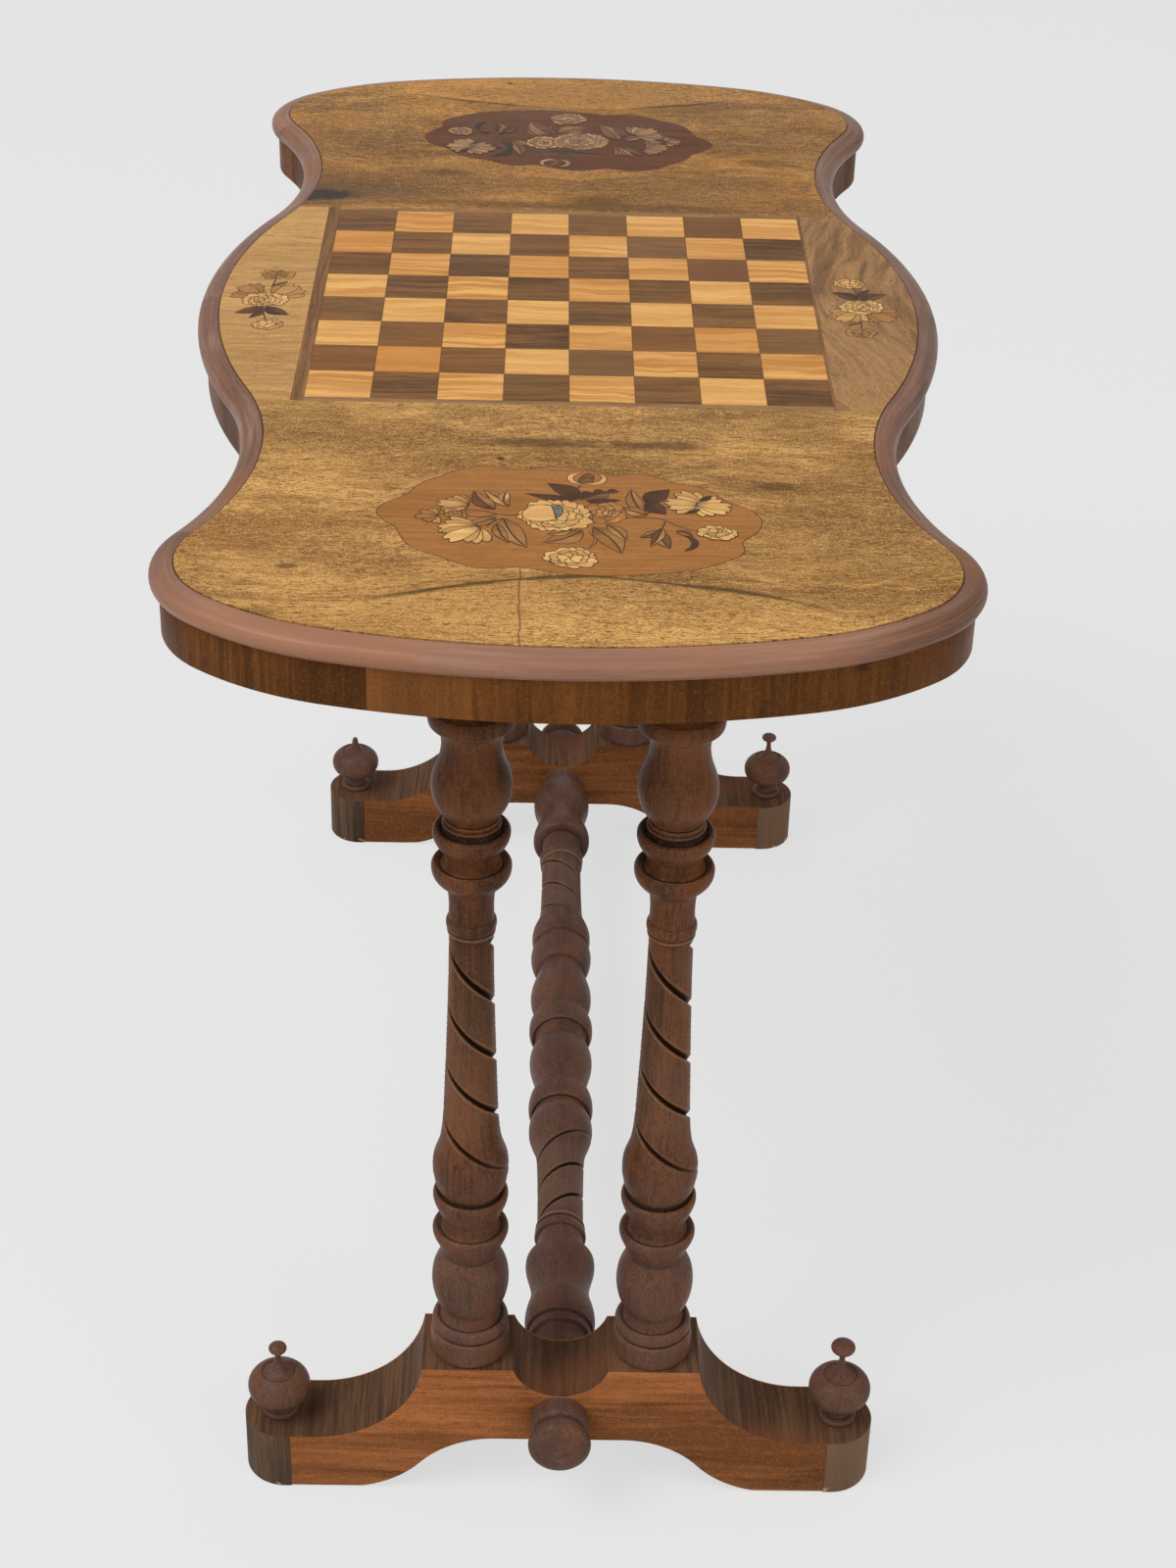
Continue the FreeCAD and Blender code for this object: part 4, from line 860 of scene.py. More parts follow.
@made_once
def end_leaf(name, side):
    """An end leaf of burr walnut: a dark line arches round its panel, and its outer rim is worn pale"""
    near = side < 0
    light, dark = finish().burr_light, finish().burr_dark
    if not near:
        light, dark = toward(toned(light, 0.90), (0.60, 0.205, 0.018), 0.45), toned(dark, 0.68)
    wood = Recipe(name, 0.38, 0.03, 0.2, 0.02)
    place = wood.place()
    seed = 1.7 if near else 5.2
    shift = (seed, seed * 2, 0)
    smoky = burr_figure(wood, place, shift, light, dark)
    # How far a point lies beyond the arch, and how far to the side of the arch's top.
    across, along = wood.part(place, "X"), wood.part(place, "Y")
    outwards = wood.times(wood.part(wood.warped(place, 9, 0.016), "Y"), side)
    from_top = wood.size(wood.minus(across, 0.012))
    fall = wood.times(wood.math("POWER", from_top, 1.45), 0.62)
    arch = wood.minus(outwards, wood.plus(PANEL_STATION + 0.0745, fall))
    wood.tint(wood.levels(arch, 0.0, 0.006, 0.0, 0.38), toward(light, (0.80, 0.44, 0.13), 0.4))
    # Darker clouds beside the board.
    inner = wood.levels(outwards, 0.32, 0.20, 0.0, 0.60)
    right = wood.times(wood.levels(across, -0.05, 0.16, 0.10, 0.50), wood.levels(arch, 0.004, -0.01))
    cloud = wood.levels(wood.stretched(place, (9, 22, 1), 4, 0.6, (side, 5, 0)), 0.36, 0.60)
    wood.tint(wood.times(wood.math("MAXIMUM", inner, right), cloud), toned(dark, 0.68))
    burr_flecks(wood, place, shift, light, dark, smoky)
    # The dark line, broken here and there.
    broken = wood.stretched(place, (14, 14, 1), 3, 0.5, (side, 0, 0))
    thick = wood.levels(broken, 0.35, 0.65, 0.0010, 0.0042)
    line = wood.levels(wood.math("DIVIDE", wood.size(arch), thick), 1.0, 0.2)
    fade = wood.times(wood.levels(broken, 0.34, 0.50, 0.35, 1.0), wood.levels(from_top, 0.15, 0.09))
    wood.tint(wood.times(wood.times(line, fade), 0.85), (0.075, 0.045, 0.017))
    if near:
        crack_x = wood.plus(across, wood.levels(wood.noise(place, 40, 2), 0.3, 0.7, -0.0008, 0.0008))
        crack = wood.levels(wood.size(wood.plus(crack_x, 0.0285)), 0.0009, 0.0003)
        run = wood.times(wood.levels(along, -0.408, -0.414), 0.62)
        wood.tint(wood.times(crack, run), (0.08, 0.035, 0.012))
        for x, y, width, depth in ((0.128, -0.296, 0.016, 0.005), (-0.165, -0.414, 0.006, 0.0035),
                                   (0.055, -0.240, 0.034, 0.006), (-0.020, -0.238, 0.040, 0.007)):
            wood.stain(place, x, y, width, depth, 0.5, 0.6, 0.7, (0.085, 0.042, 0.014))
    else:
        wood.stain(place, -0.197, 0.207, 0.034, 0.013, 0.35, 0.4, 0.94, (0.018, 0.018, 0.022))
        wood.stain(place, -0.175, 0.215, 0.075, 0.026, 0.6, 0.4, 0.45, (0.07, 0.042, 0.025))
        for x, y, width, depth in ((0.004, 0.192, 0.13, 0.009), (0.020, 0.205, 0.020, 0.010),
                                   (-0.098, 0.262, 0.020, 0.006), (0.16, 0.30, 0.024, 0.010)):
            wood.stain(place, x, y, width, depth, 0.6, 0.6, 0.6, (0.10, 0.042, 0.012))
    return wood.done(wood.dulled(place, 22, 4, 0.26, 0.42))


@made_once
def side_leaf(name, side):
    """A side leaf: yellow and cracked on the left, browner with curved grain on the right"""
    wood = Recipe(name, 0.40, 0.04, 0.22)
    place = wood.place()
    if side < 0:
        bent = wood.warped(place, 10, 0.03)
        wood.grain(bent, "X", (0.69, 0.385, 0.130), (0.43, 0.225, 0.072), 260, 0.6, 2.3, 0.45)
        wood.speckle(640, (0.82, 0.52, 0.22), (0.24, 0.12, 0.04), 0.45)
        crack = wood.stretched(wood.warped(place, 20, 0.02), (5, 70, 1), 4, 0.7, (1, 0, 0))
        crack = wood.levels(wood.size(wood.minus(crack, 0.5)), 0.008, 0.001)
        wood.tint(wood.times(crack, 0.5), (0.10, 0.05, 0.02))
    else:
        radius = wood.length(wood.vector_math("SUBTRACT", place, (0.62, 0.02, 0)))
        swirl = wood.vector(radius, wood.part(place, "Y"))
        wood.grain(wood.warped(swirl, 8, 0.02), "Y", (0.45, 0.235, 0.090), (0.17, 0.082, 0.030), 300, 0.6, 3.1, 0.5)
        lines = wood.stretched(wood.warped(swirl, 6, 0.03), (110, 4, 1), 3, 0.6)
        wood.tint(wood.levels(lines, 0.56, 0.66, 0, 0.6), (0.105, 0.052, 0.024))
        wood.speckle(640, (0.56, 0.32, 0.14), (0.12, 0.058, 0.020), 0.45)
    wood.sink_pores()
    return wood.done(wood.dulled(place, 22, 4, 0.26, 0.44))


@made_once
def chess_square(name, light_wood):
    """One tone of the board: each square has its own shade, streaks and shift of grain"""
    wood = Recipe(name, 0.36, 0.05, 0.18)
    place = wood.place()
    cells = wood.scaled(place, (1 / SQUARE, 1 / SQUARE, 0))
    own = wood.random_by_cell(cells)
    local = wood.vector_math("ADD", place, wood.vector(wood.times(own, 5.0), wood.times(own, 3.0)))
    if light_wood:
        base = finish().satin_light
        light, dark = toward(base, (0.84, 0.47, 0.145), 0.7), toward(base, (0.46, 0.165, 0.028), 0.75)
        wavy = wood.warped(local, 22, 0.016)
        streaks = wood.stretched(wavy, (7, 150, 1), 4, 0.6)
        wood.colour = wood.mix(wood.levels(streaks, 0.38, 0.64), dark, light)
        bands = wood.levels(wood.stretched(wavy, (3, 62, 1), 2), 0.44, 0.62, 0, 0.55)
        wood.tint(bands, toward(base, (0.56, 0.25, 0.06), 0.8))
        wood.tint(wood.levels(own, 0.5, 1.0, 0, 0.7), (0.54, 0.205, 0.036))
        wood.tint(wood.levels(own, 0.42, 0.0, 0, 0.35), (0.84, 0.48, 0.15))
        fleck = wood.levels(wood.stretched(local, (150, 1400, 1), 1), 0.60, 0.72, 0, 0.35)
        wood.tint(fleck, toned(dark, 0.6))
        wood.pores = fleck
    else:
        base = finish().satin_dark
        wood.grain(wood.warped(local, 16, 0.01), "X", toned(base, 1.5), toned(base, 0.48), 260, 0.6, 1.1, 0.5)
        wood.tint(wood.levels(own, 0.7, 1.0, 0, 0.45), (0.27, 0.098, 0.022))
        wood.tint(wood.levels(own, 0.35, 0.0, 0, 0.5), (0.25, 0.125, 0.040))
    edge = wood.vector_math("FRACTION", cells)
    near_edge = wood.math("MINIMUM", *(wood.math("PINGPONG", wood.part(edge, letter), 0.5) for letter in "XY"))
    wood.tint(wood.levels(near_edge, 0.014, 0.004, 0, 0.6), (0.07, 0.028, 0.008))
    scratch = wood.stretched(place, (70, 70, 1), 5, 0.7)
    wood.relief(wood.plus(wood.times(wood.pores, -1.0), scratch), 0.0001, 0.3)
    return wood.done(wood.dulled(place, 30, 4, 0.22, 0.40))


@made_once
def banding(name, light, dark, axis):
    """Narrow bands round the board"""
    wood = Recipe(name, 0.40, 0.04, 0.2)
    place = wood.place()
    wood.grain(place, axis, light, dark, 380, 0.5, 4.4, 0.4)
    wood.sink_pores(strength=0.3)
    return wood.done()


@made_once
def panel_ground(name, side):
    """Ground of a marquetry panel: golden brown near, purplish brown far, with its knife line at the rim"""
    wood = Recipe(name, 0.38, 0.04, 0.2)
    place = wood.place()
    if side < 0:
        light, dark = (0.45, 0.190, 0.052), (0.33, 0.130, 0.030)
    else:
        light, dark = (0.165, 0.060, 0.022), (0.105, 0.034, 0.012)
    wood.grain(wood.warped(place, 12, 0.01), "X", light, dark, 420, 0.5, 6.0, 0.3)
    mottle = wood.levels(wood.noise(wood.scaled(place, (1, 2.4, 1)), 420, 4, 0.7), 0.48, 0.66, 0, 0.55)
    wood.tint(mottle, toned(dark, 0.7))
    wood.sink_pores(strength=0.3)
    return wood.done(wood.dulled(place, 22, 4, 0.24, 0.42))


@made_once
def steel(name):
    """Old steel of the screws, dulled by rust"""
    metal = Recipe(name, 0.45, 0.0)
    metal.surface.inputs["Metallic"].default_value = 0.9
    rust = metal.levels(metal.noise(metal.place(), 420, 4, 0.6), 0.42, 0.62)
    metal.colour = metal.mix(rust, (0.30, 0.28, 0.26), (0.14, 0.065, 0.03))
    return metal.done(metal.levels(rust, 0.0, 1.0, 0.35, 0.75))


# ------------------------------------------------------------------ turned work

COLUMN_PHASES = {"near_left": 0.0, "near_right": 0.0, "far_left": 1.2, "far_right": 2.3}


def stand_at(place, spread, height):
    """Where the piece of this place stands on its foot"""
    end, side = place.split("_")
    return (BASE_X + spread * SIDES[side], SUPPORT_Y * ENDS[end], height)


class TABLE_OT_columns(bpy.types.Operator):
    """Turns the four columns and carves their left-handed twists"""
    bl_idname = "games_table.columns"
    bl_label = "Columns"

    def execute(self, context):
        turned = turn_on_lathe("column", COLUMN_OUTLINE)
        for number, (place, phase) in enumerate(COLUMN_PHASES.items()):
            column = duplicate(turned, f"turned_column_{place}")
            carve_twist(column, *COLUMN_TWIST, shape().column_lead, phase)
            move(column, stand_at(place, COLUMN_SPREAD, 0))
            dress(column, turned_walnut(f"column_walnut_{number}", "Z", number + 0.5, 0.3))
            settle(column, "turned", f"column_{place}")
        remove(turned)
        return {"FINISHED"}


class TABLE_OT_stretcher(bpy.types.Operator):
    """Turns half of the stretcher, carves its twist, and mirrors it to the other half"""
    bl_idname = "games_table.stretcher"
    bl_label = "Stretcher"

    def execute(self, context):
        half = spin_outline("turned_stretcher", STRETCHER_OUTLINE)
        merge_doubles(half)
        to_mode("OBJECT")
        carve_twist(half, *STRETCHER_TWIST, shape().stretcher_lead, 0.4)
        apply_modifier(half, "MIRROR", use_axis=(False, False, True), merge_threshold=0.01 * MM)
        lay_down(half)
        close_and_smooth(half)
        move(half, (BASE_X, 0, STRETCHER_HEIGHT))
        dress(half, turned_walnut("stretcher_walnut", "Y", 7.5))
        settle(half, "turned", "stretcher")
        return {"FINISHED"}


class TABLE_OT_finials(bpy.types.Operator):
    """Turns the onion finials, one of them without its knob"""
    bl_idname = "games_table.finials"
    bl_label = "Finials"

    def execute(self, context):
        onion_foot = 6
        for number, (place, knob) in enumerate(FINIAL_KNOBS.items()):
            outline = FINIAL_OUTLINE + FINIAL_STUMP
            if knob:
                centre, radius, half_height, sunk = knob
                outline = [(height - sunk * (height > onion_foot), *rest) for height, *rest in FINIAL_OUTLINE]
                outline += [(centre - half_height - 2.2, 2.1), (centre - half_height, 2.4)]
                outline += [(centre + half_height * up, radius * out) for up, out in KNOB_OUTLINE]
                outline.append((centre + half_height, 0, 1))
            finial = turn_on_lathe(f"turned_finial_{place}", outline, 4)
            move(finial, stand_at(place, FINIAL_SPREAD, FOOT_END_HEIGHT))
            dress(finial, turned_walnut(f"finial_walnut_{number}", "Z", number + 11.5, 0.2))
            settle(finial, "turned", f"finial_{place}")
        return {"FINISHED"}


class TABLE_OT_bosses(bpy.types.Operator):
    """Turns the boss on the outer face of each foot"""
    bl_idname = "games_table.bosses"
    bl_label = "Bosses"

    def execute(self, context):
        turned = turn_on_lathe("boss", BOSS_OUTLINE, 4)
        lay_down(turned)
        for name, y_side in ENDS.items():
            boss = duplicate(turned, f"turned_boss_{name}")
            if y_side < 0:
                flip(boss, 1, -1)
            if max(vertex.co.y * y_side for vertex in boss.data.vertices) < 30 * MM:
                raise RuntimeError("a boss points inwards")
            move(boss, (BASE_X, (SUPPORT_Y + FOOT_HALF_THICKNESS) * y_side, STRETCHER_HEIGHT))
            dress(boss, turned_walnut("boss_walnut", "Y", 15.5))
            settle(boss, "turned", f"boss_{name}")
        remove(turned)
        return {"FINISHED"}


# ------------------------------------------------------------------ the edge of the top

class TABLE_OT_mouldings(bpy.types.Operator):
    """Runs the rounded edge moulding round the top in six lengths"""
    bl_idname = "games_table.mouldings"
    bl_label = "Mouldings"

    def execute(self, context):
        run_round(MOULDING_SECTION, TOP_UNDERSIDE, "moulding", "moulding", moulding_walnut("moulding_walnut"),
                  end_name="moulding_{end}_{side}", side_name="moulding_side_{side}")
        return {"FINISHED"}


class TABLE_OT_friezes(bpy.types.Operator):
    """Lays the crossbanded veneer round the frieze in four lengths"""
    bl_idname = "games_table.friezes"
    bl_label = "Friezes"

    def execute(self, context):
        run_round(FRIEZE_SECTION, FRIEZE_UNDERSIDE, "frieze", "frieze_veneer", frieze_walnut("frieze_walnut"),
                  end_name="frieze_veneer_{end}", side_name="frieze_veneer_{side}")
        return {"FINISHED"}


def run_round(section, level, name, slot, material, end_name, side_name):
    """The lengths of an edge all round the top: made for one quarter and mirrored to the others"""
    arcs = outline_quarter()
    end_start, side_start, side_shift = 1.9, 0.7, 0.8
    quarters = {"end": run_section(f"shaped_{name}_end", section, arcs[:3], level),
                "side": run_section(f"shaped_{name}_side", section, arcs[3:], level, side_start)}
    groups = {}
    for x_name, x_side in SIDES.items():
        for y_name, y_side in ENDS.items():
            for kind, quarter in quarters.items():
                length = duplicate(quarter, f"shaped_{name}_{kind}_{y_name}_{x_name}")
                flip(length, x_side, y_side)
                shift = end_start * y_side + (0 if kind == "end" else side_shift * x_side)
                for value in length.data.attributes["grain"].data:
                    along, out, up = value.vector
                    value.vector = (along * x_side * y_side + shift, out, up)
                target = (end_name if kind == "end" else side_name).format(end=y_name, side=x_name)
                groups.setdefault(target, []).append(length)
    for quarter in quarters.values():
        remove(quarter)
    for target, members in groups.items():
        piece = join(members, f"shaped_{target}")
        close_and_smooth(piece, 40)
        dress(piece, material)
        settle(piece, slot, target)


# ------------------------------------------------------------------ feet and screws

def node_copy(node, name):
    """A merged copy of a frame node, with its flat faces whole again"""
    source = bpy.data.objects[node]
    copy = source.copy()
    copy.data = source.data.copy()
    copy.name = copy.data.name = name
    bpy.context.scene.collection.objects.link(copy)
    copy.hide_render = copy.hide_viewport = False
    copy.hide_set(False)
    merge_doubles(copy, 0.005 * MM)
    select_mesh()
    bpy.ops.mesh.dissolve_limited(angle_limit=math.radians(0.5))
    to_mode("OBJECT")
    return copy


def soften_edges(piece, width, angle=35):
    apply_modifier(piece, "BEVEL", width=width, segments=2, limit_method="ANGLE", angle_limit=math.radians(angle))
    smooth(28)


class TABLE_OT_feet(bpy.types.Operator):
    """Softens the feet and parts their tops from their rounded ends"""
    bl_idname = "games_table.feet"
    bl_label = "Feet"

    def execute(self, context):
        for y_name, seed in (("near", 0.6), ("far", 2.6)):
            foot = node_copy(f"foot_{y_name}", f"sawn_foot_{y_name}")
            soften_edges(foot, shape().worn_edge)
            dress(foot, foot_top(f"foot_top_{y_name}", seed), foot_end(f"foot_end_{y_name}", seed))
            for face in foot.data.polygons:
                upright = abs(face.normal.z) < 0.5
                face.material_index = int(abs(face.center.x - BASE_X) > FOOT_SQUARE_HALF and upright)
            settle(foot, "foot", f"foot_{y_name}")
            for side in ("outer", "inner"):
                leaf = node_copy(f"foot_veneer_{y_name}_{side}", f"foot_leaf_{y_name}_{side}")
                soften_edges(leaf, shape().worn_edge * 0.5)
                dress(leaf, foot_veneer(f"foot_leaf_{y_name}", seed + 1))
                settle(leaf, "foot_veneer", f"foot_veneer_{y_name}_{side}")
        return {"FINISHED"}


class TABLE_OT_screws(bpy.types.Operator):
    """Sets the slotted screw heads that hold the bearers to the top"""
    bl_idname = "games_table.screws"
    bl_label = "Screws"

    def execute(self, context):
        deselect_all()
        head_radius, head_height, slot_width, slot_depth, sunk = 4.6 * MM, 1.2 * MM, 1.0 * MM, 0.7 * MM, 0.1 * MM
        bpy.ops.mesh.primitive_cylinder_add(vertices=24, radius=head_radius, depth=head_height, location=(0, 0, 0))
        head = context.object
        edit(head)
        for slot_side in (slot_width / 2, -slot_width / 2):
            select_mesh()
            bpy.ops.mesh.bisect(plane_co=(slot_side, 0, 0), plane_no=(1, 0, 0))
        select_mesh("DESELECT")
        to_mode("OBJECT")
        for face in head.data.polygons:
            face.select = face.normal.z < -0.9 and abs(face.center.x) < slot_width / 2
        to_mode("EDIT")
        bpy.ops.mesh.select_mode(type="FACE")
        bpy.ops.mesh.extrude_region_move(TRANSFORM_OT_translate={"value": (0, 0, slot_depth)})
        bpy.ops.mesh.select_mode(type="VERT")
        to_mode("OBJECT")
        soften_edges(head, 0.15 * MM, 50)
        heads = []
        generator = random.Random(4)
        for y_side in ENDS.values():
            for x, y in ((-94, 15), (-30, -15), (30, 15), (94, -15)):
                copy = duplicate(head, "screw_head")
                turn(copy, generator.uniform(0, math.pi), "Z")
                move(copy, (BASE_X + x * MM, SUPPORT_Y * y_side + y * MM, BEARER_UNDERSIDE + sunk))
                heads.append(copy)
        remove(head)
        screws = join(heads, "bearer_screws")
        dress(screws, steel("screw_steel"))
        settle(screws, "bearer")
        return {"FINISHED"}


# ------------------------------------------------------------------ leaves, board and hidden timber

class TABLE_OT_veneers(bpy.types.Operator):
    """Finishes the leaves of the top, the chessboard and its bands"""
    bl_idname = "games_table.veneers"
    bl_label = "Veneers and board"

    def execute(self, context):
        for end, y_side in ENDS.items():
            for node in (f"veneer_{end}", f"marquetry_panel_{end}"):
                dress(bpy.data.objects[node], end_leaf(f"end_leaf_{end}", y_side))
            band = banding("light_string", (0.42, 0.23, 0.10), (0.22, 0.11, 0.045), "X")
            dress(bpy.data.objects[f"band_{end}"], band)
        for side, x_side in SIDES.items():
            dress(bpy.data.objects[f"veneer_{side}"], side_leaf(f"side_leaf_{side}", x_side))
            band = banding("dark_band", (0.30, 0.150, 0.060), (0.150, 0.065, 0.024), "Y")
            dress(bpy.data.objects[f"band_{side}"], band)
        dress(bpy.data.objects["squares_light"], chess_square("satinwood_square", True))
        dress(bpy.data.objects["squares_dark"], chess_square("walnut_square", False))
        return {"FINISHED"}


class TABLE_OT_timber(bpy.types.Operator):
    """Finishes the ground board, the frieze rails and the bearers, which only show from below"""
    bl_idname = "games_table.timber"
    bl_label = "Hidden timber"

    def execute(self, context):
        pine = plain_timber("ground_pine", (0.44, 0.28, 0.145), (0.25, 0.135, 0.062), "Y", 1.0)
        rail = plain_timber("rail_pine", (0.36, 0.22, 0.115), (0.20, 0.11, 0.052), "X", 2.0)
        bearer = plain_timber("bearer_beech", (0.20, 0.105, 0.052), (0.10, 0.048, 0.022), "X", 3.0)
        finishes = {"top_board": pine, **{f"frieze_rail_{name}": rail for name in (*ENDS, *SIDES)},
                    **{f"bearer_{name}": bearer for name in ENDS}}
        for node, material in finishes.items():
            dress(bpy.data.objects[node], material)
        return {"FINISHED"}


# ------------------------------------------------------------------ marquetry

# Woods of the marquetry, near and far: (light, dark).
INLAY_WOODS = {
    "cream": (((0.86, 0.53, 0.20), (0.60, 0.31, 0.085)), ((0.50, 0.29, 0.13), (0.32, 0.165, 0.070))),
    "pale": (((0.74, 0.43, 0.16), (0.46, 0.22, 0.062)), ((0.36, 0.195, 0.100), (0.22, 0.11, 0.055))),
    "gold": (((0.52, 0.265, 0.085), (0.33, 0.145, 0.038)), ((0.38, 0.190, 0.078), (0.24, 0.110, 0.042))),
    "ground": (((0.43, 0.20, 0.065), (0.29, 0.12, 0.032)), ((0.25, 0.120, 0.055), (0.16, 0.070, 0.032))),
    "brown": (((0.23, 0.10, 0.034), (0.13, 0.05, 0.017)), ((0.15, 0.060, 0.026), (0.075, 0.028, 0.013))),
    "orange": (((0.62, 0.285, 0.085), (0.36, 0.135, 0.033)), ((0.66, 0.40, 0.165), (0.44, 0.23, 0.085))),
    "dark": (((0.130, 0.058, 0.025), (0.080, 0.034, 0.015)), ((0.150, 0.070, 0.034), (0.095, 0.042, 0.021))),
    "black": (((0.095, 0.042, 0.018), (0.058, 0.025, 0.011)), ((0.060, 0.034, 0.020), (0.034, 0.020, 0.013))),
    "blue": (((0.22, 0.21, 0.165), (0.12, 0.115, 0.09)), ((0.16, 0.16, 0.13), (0.09, 0.09, 0.075))),
}


@made_once
def inlay_wood(name, light, dark):
    """A piece of the marquetry: its own shade and grain, scorched towards its root"""
    wood = Recipe(name, 0.38, 0.04, 0.2)
    place, cut = wood.place(), wood.place("cut")
    toward_tip, own = wood.part(cut, "X"), wood.part(cut, "Y")
    shift = wood.vector(wood.times(own, 3.0), own)
    wood.grain(wood.vector_math("ADD", place, shift), "X", light, dark, 260, 0.4, 1.4, 0.4)
    wood.tint(wood.levels(own, 0.5, 1.0, 0.0, 0.35), dark)
    wood.tint(wood.levels(own, 0.5, 0.0, 0.0, 0.25), toned(light, 1.15))
    wood.tint(wood.levels(toward_tip, 0.50, 0.0, 0.0, 0.75), toned(dark, 0.45))
    wood.sink_pores(strength=0.3)
    return wood.done(wood.dulled(place, 30, 3, 0.26, 0.42))


@made_once
def knife_line(name):
    """The saw cut round a piece of marquetry, filled with dark glue"""
    glue = Recipe(name, 0.4, 0.2)
    glue.colour = glue.mix(glue.noise(glue.place(), 180, 3), (0.035, 0.015, 0.006), (0.08, 0.033, 0.011))
    return glue.done()


# How thick a piece of marquetry is, and how far each lies above the one before.
PLATE = 0.1 * MM
LAYER = 0.0015 * MM


def swing(knots, angle, origin, scale=1):
    """Turns knots (x, y, and a third number at a corner) by an angle, and sets them off from an origin"""
    cosine, sine = math.cos(angle), math.sin(angle)
    return [(origin[0] + (x * cosine - y * sine) * scale, origin[1] + (x * sine + y * cosine) * scale, *corner)
            for x, y, *corner in knots]


class Picture:
    """Collects the sawn pieces of one marquetry picture, in millimetres from its middle"""

    def __init__(self, name, middle, turned, far, seed, sunk=0.0):
        self.name, self.middle, self.turned, self.far = name, middle, turned, far
        self.level = SURFACE + shape().inlay_height * (1 - sunk)
        self.chance = random.Random(seed)
        self.pieces = {}
        self.count = 0

    def vary(self, value, share=0.12):
        return value * self.chance.uniform(1 - share, 1 + share)

    def cut(self, wood, knots, root, reach):
        """Saws a piece along its knots. It is darkest at its root and clear at its reach."""
        height = self.level + self.count * LAYER
        placed = [(x, y, height, *corner) for x, y, *corner in swing(knots, self.turned, self.middle, MM)]
        tips = [math.dist(root, knot[:2]) / reach for knot in knots]
        self.pieces.setdefault(wood, []).append((placed, tips, self.chance.random()))
        self.count += 1

    def petal(self, wood, origin, degrees, length, width, notch=0.08):
        length, width = self.vary(length), self.vary(width)
        shares = [(0, -0.16, 1), (0.45, -0.47), (0.80, -0.46), (0.99, -0.20), (1 - notch, 0, 1), (1, 0.24),
                  (0.78, 0.48), (0.42, 0.44), (0, 0.16, 1)]
        outline = [(length * along, width * across, *corner) for along, across, *corner in shares]
        self.cut(wood, swing(outline, math.radians(degrees), origin), origin, length)

    def blossom(self, middle, half_width, half_height, rings, start=0):
        """An open flower: rings of overlapping petals (wood, number, size), the outermost first"""
        for wood, number, size in rings:
            for step in range(number):
                degrees = start + 360 * (step + self.chance.uniform(-0.12, 0.12)) / number
                angle = math.radians(degrees)
                reach = size * half_width * half_height / math.hypot(
                    half_height * math.cos(angle), half_width * math.sin(angle))
                self.petal(wood, middle, degrees, reach, 2.5 * math.pi * reach / number)
            start += 23

    def fan(self, root, degrees, size, spread, woods, number):
        """A flower seen from its side: petals that spread from its foot"""
        for step in sorted(range(number), key=lambda step: -abs(step - (number - 1) / 2)):
            turn_aside = (step / (number - 1) - 0.5) * spread
            shorter = 1 - 0.12 * abs(turn_aside) / max(spread / 2, 1)
            self.petal(woods.split()[step % 2], root, degrees + turn_aside, size * shorter, size * 0.50, 0.12)

    def leaf(self, root, tip, width, woods, bend=0.0, lobes=0):
        """A pointed leaf in two halves that meet at its rib. bend is how far the rib bows to the left."""
        length, angle = math.dist(root, tip), math.atan2(tip[1] - root[1], tip[0] - root[0])
        for wood, side in zip(woods.split(), (1, -1)):
            outline = [(0, 0, 1), (length * 0.35, bend * 0.8), (length * 0.70, bend * 0.8), (length, 0, 1)]
            for lobe in range(lobes, 0, -1):
                along = length * (lobe - 0.35) / (lobes + 0.4)
                out = width * 0.5 * math.sin(math.pi * min(0.9, 0.25 + 0.6 * lobe / lobes))
                outline += [(along + length * 0.10, bend + side * out * 1.1),
                            (along - length * 0.04, bend * 0.8 + side * out * 0.62, 1)]
            if not lobes:
                outline += [(length * along, bend * bowed + side * width * out)
                            for along, bowed, out in ((0.78, 0.6, 0.26), (0.48, 1, 0.48), (0.18, 0.6, 0.34))]
            self.cut(wood, swing(outline, angle, root), root, length)

    def stem(self, line, width, wood="dark"):
        """A thin stem along a line of points"""
        left, right = [], []
        for number, (x, y) in enumerate(line):
            before, after = line[max(number - 1, 0)], line[min(number + 1, len(line) - 1)]
            along = Vector((after[0] - before[0], after[1] - before[1])).normalized()
            half = width / 2 * (1 - 0.5 * number / len(line))
            corner = (1,) if number in (0, len(line) - 1) else ()
            left.append((x - along.y * half, y + along.x * half, *corner))
            right.append((x + along.y * half, y - along.x * half, *corner))
        self.cut(wood, left + right[::-1], line[0], 0.5)

    def crescent(self, wood, middle, degrees, radius, thick, span=210):
        """A curled petal, thickest at its middle"""
        steps = 5
        outer, inner = [], []
        for step in range(steps + 1):
            share = step / steps
            angle = math.radians(degrees + (share - 0.5) * span)
            inner_radius = radius - thick * math.sin(math.pi * (0.08 + 0.84 * share))
            corner = (1,) if step in (0, steps) else ()
            outer.append((middle[0] + radius * math.cos(angle), middle[1] + radius * 1.05 * math.sin(angle), *corner))
            inner.append((middle[0] + inner_radius * math.cos(angle), middle[1] + inner_radius * math.sin(angle)))
        self.cut(wood, outer + inner[1:-1][::-1], middle, radius)

    def lay(self):
        """Makes one mesh of each wood, with a dark saw cut round each piece"""
        return [self.saw(wood, pieces) for wood, pieces in self.pieces.items()]

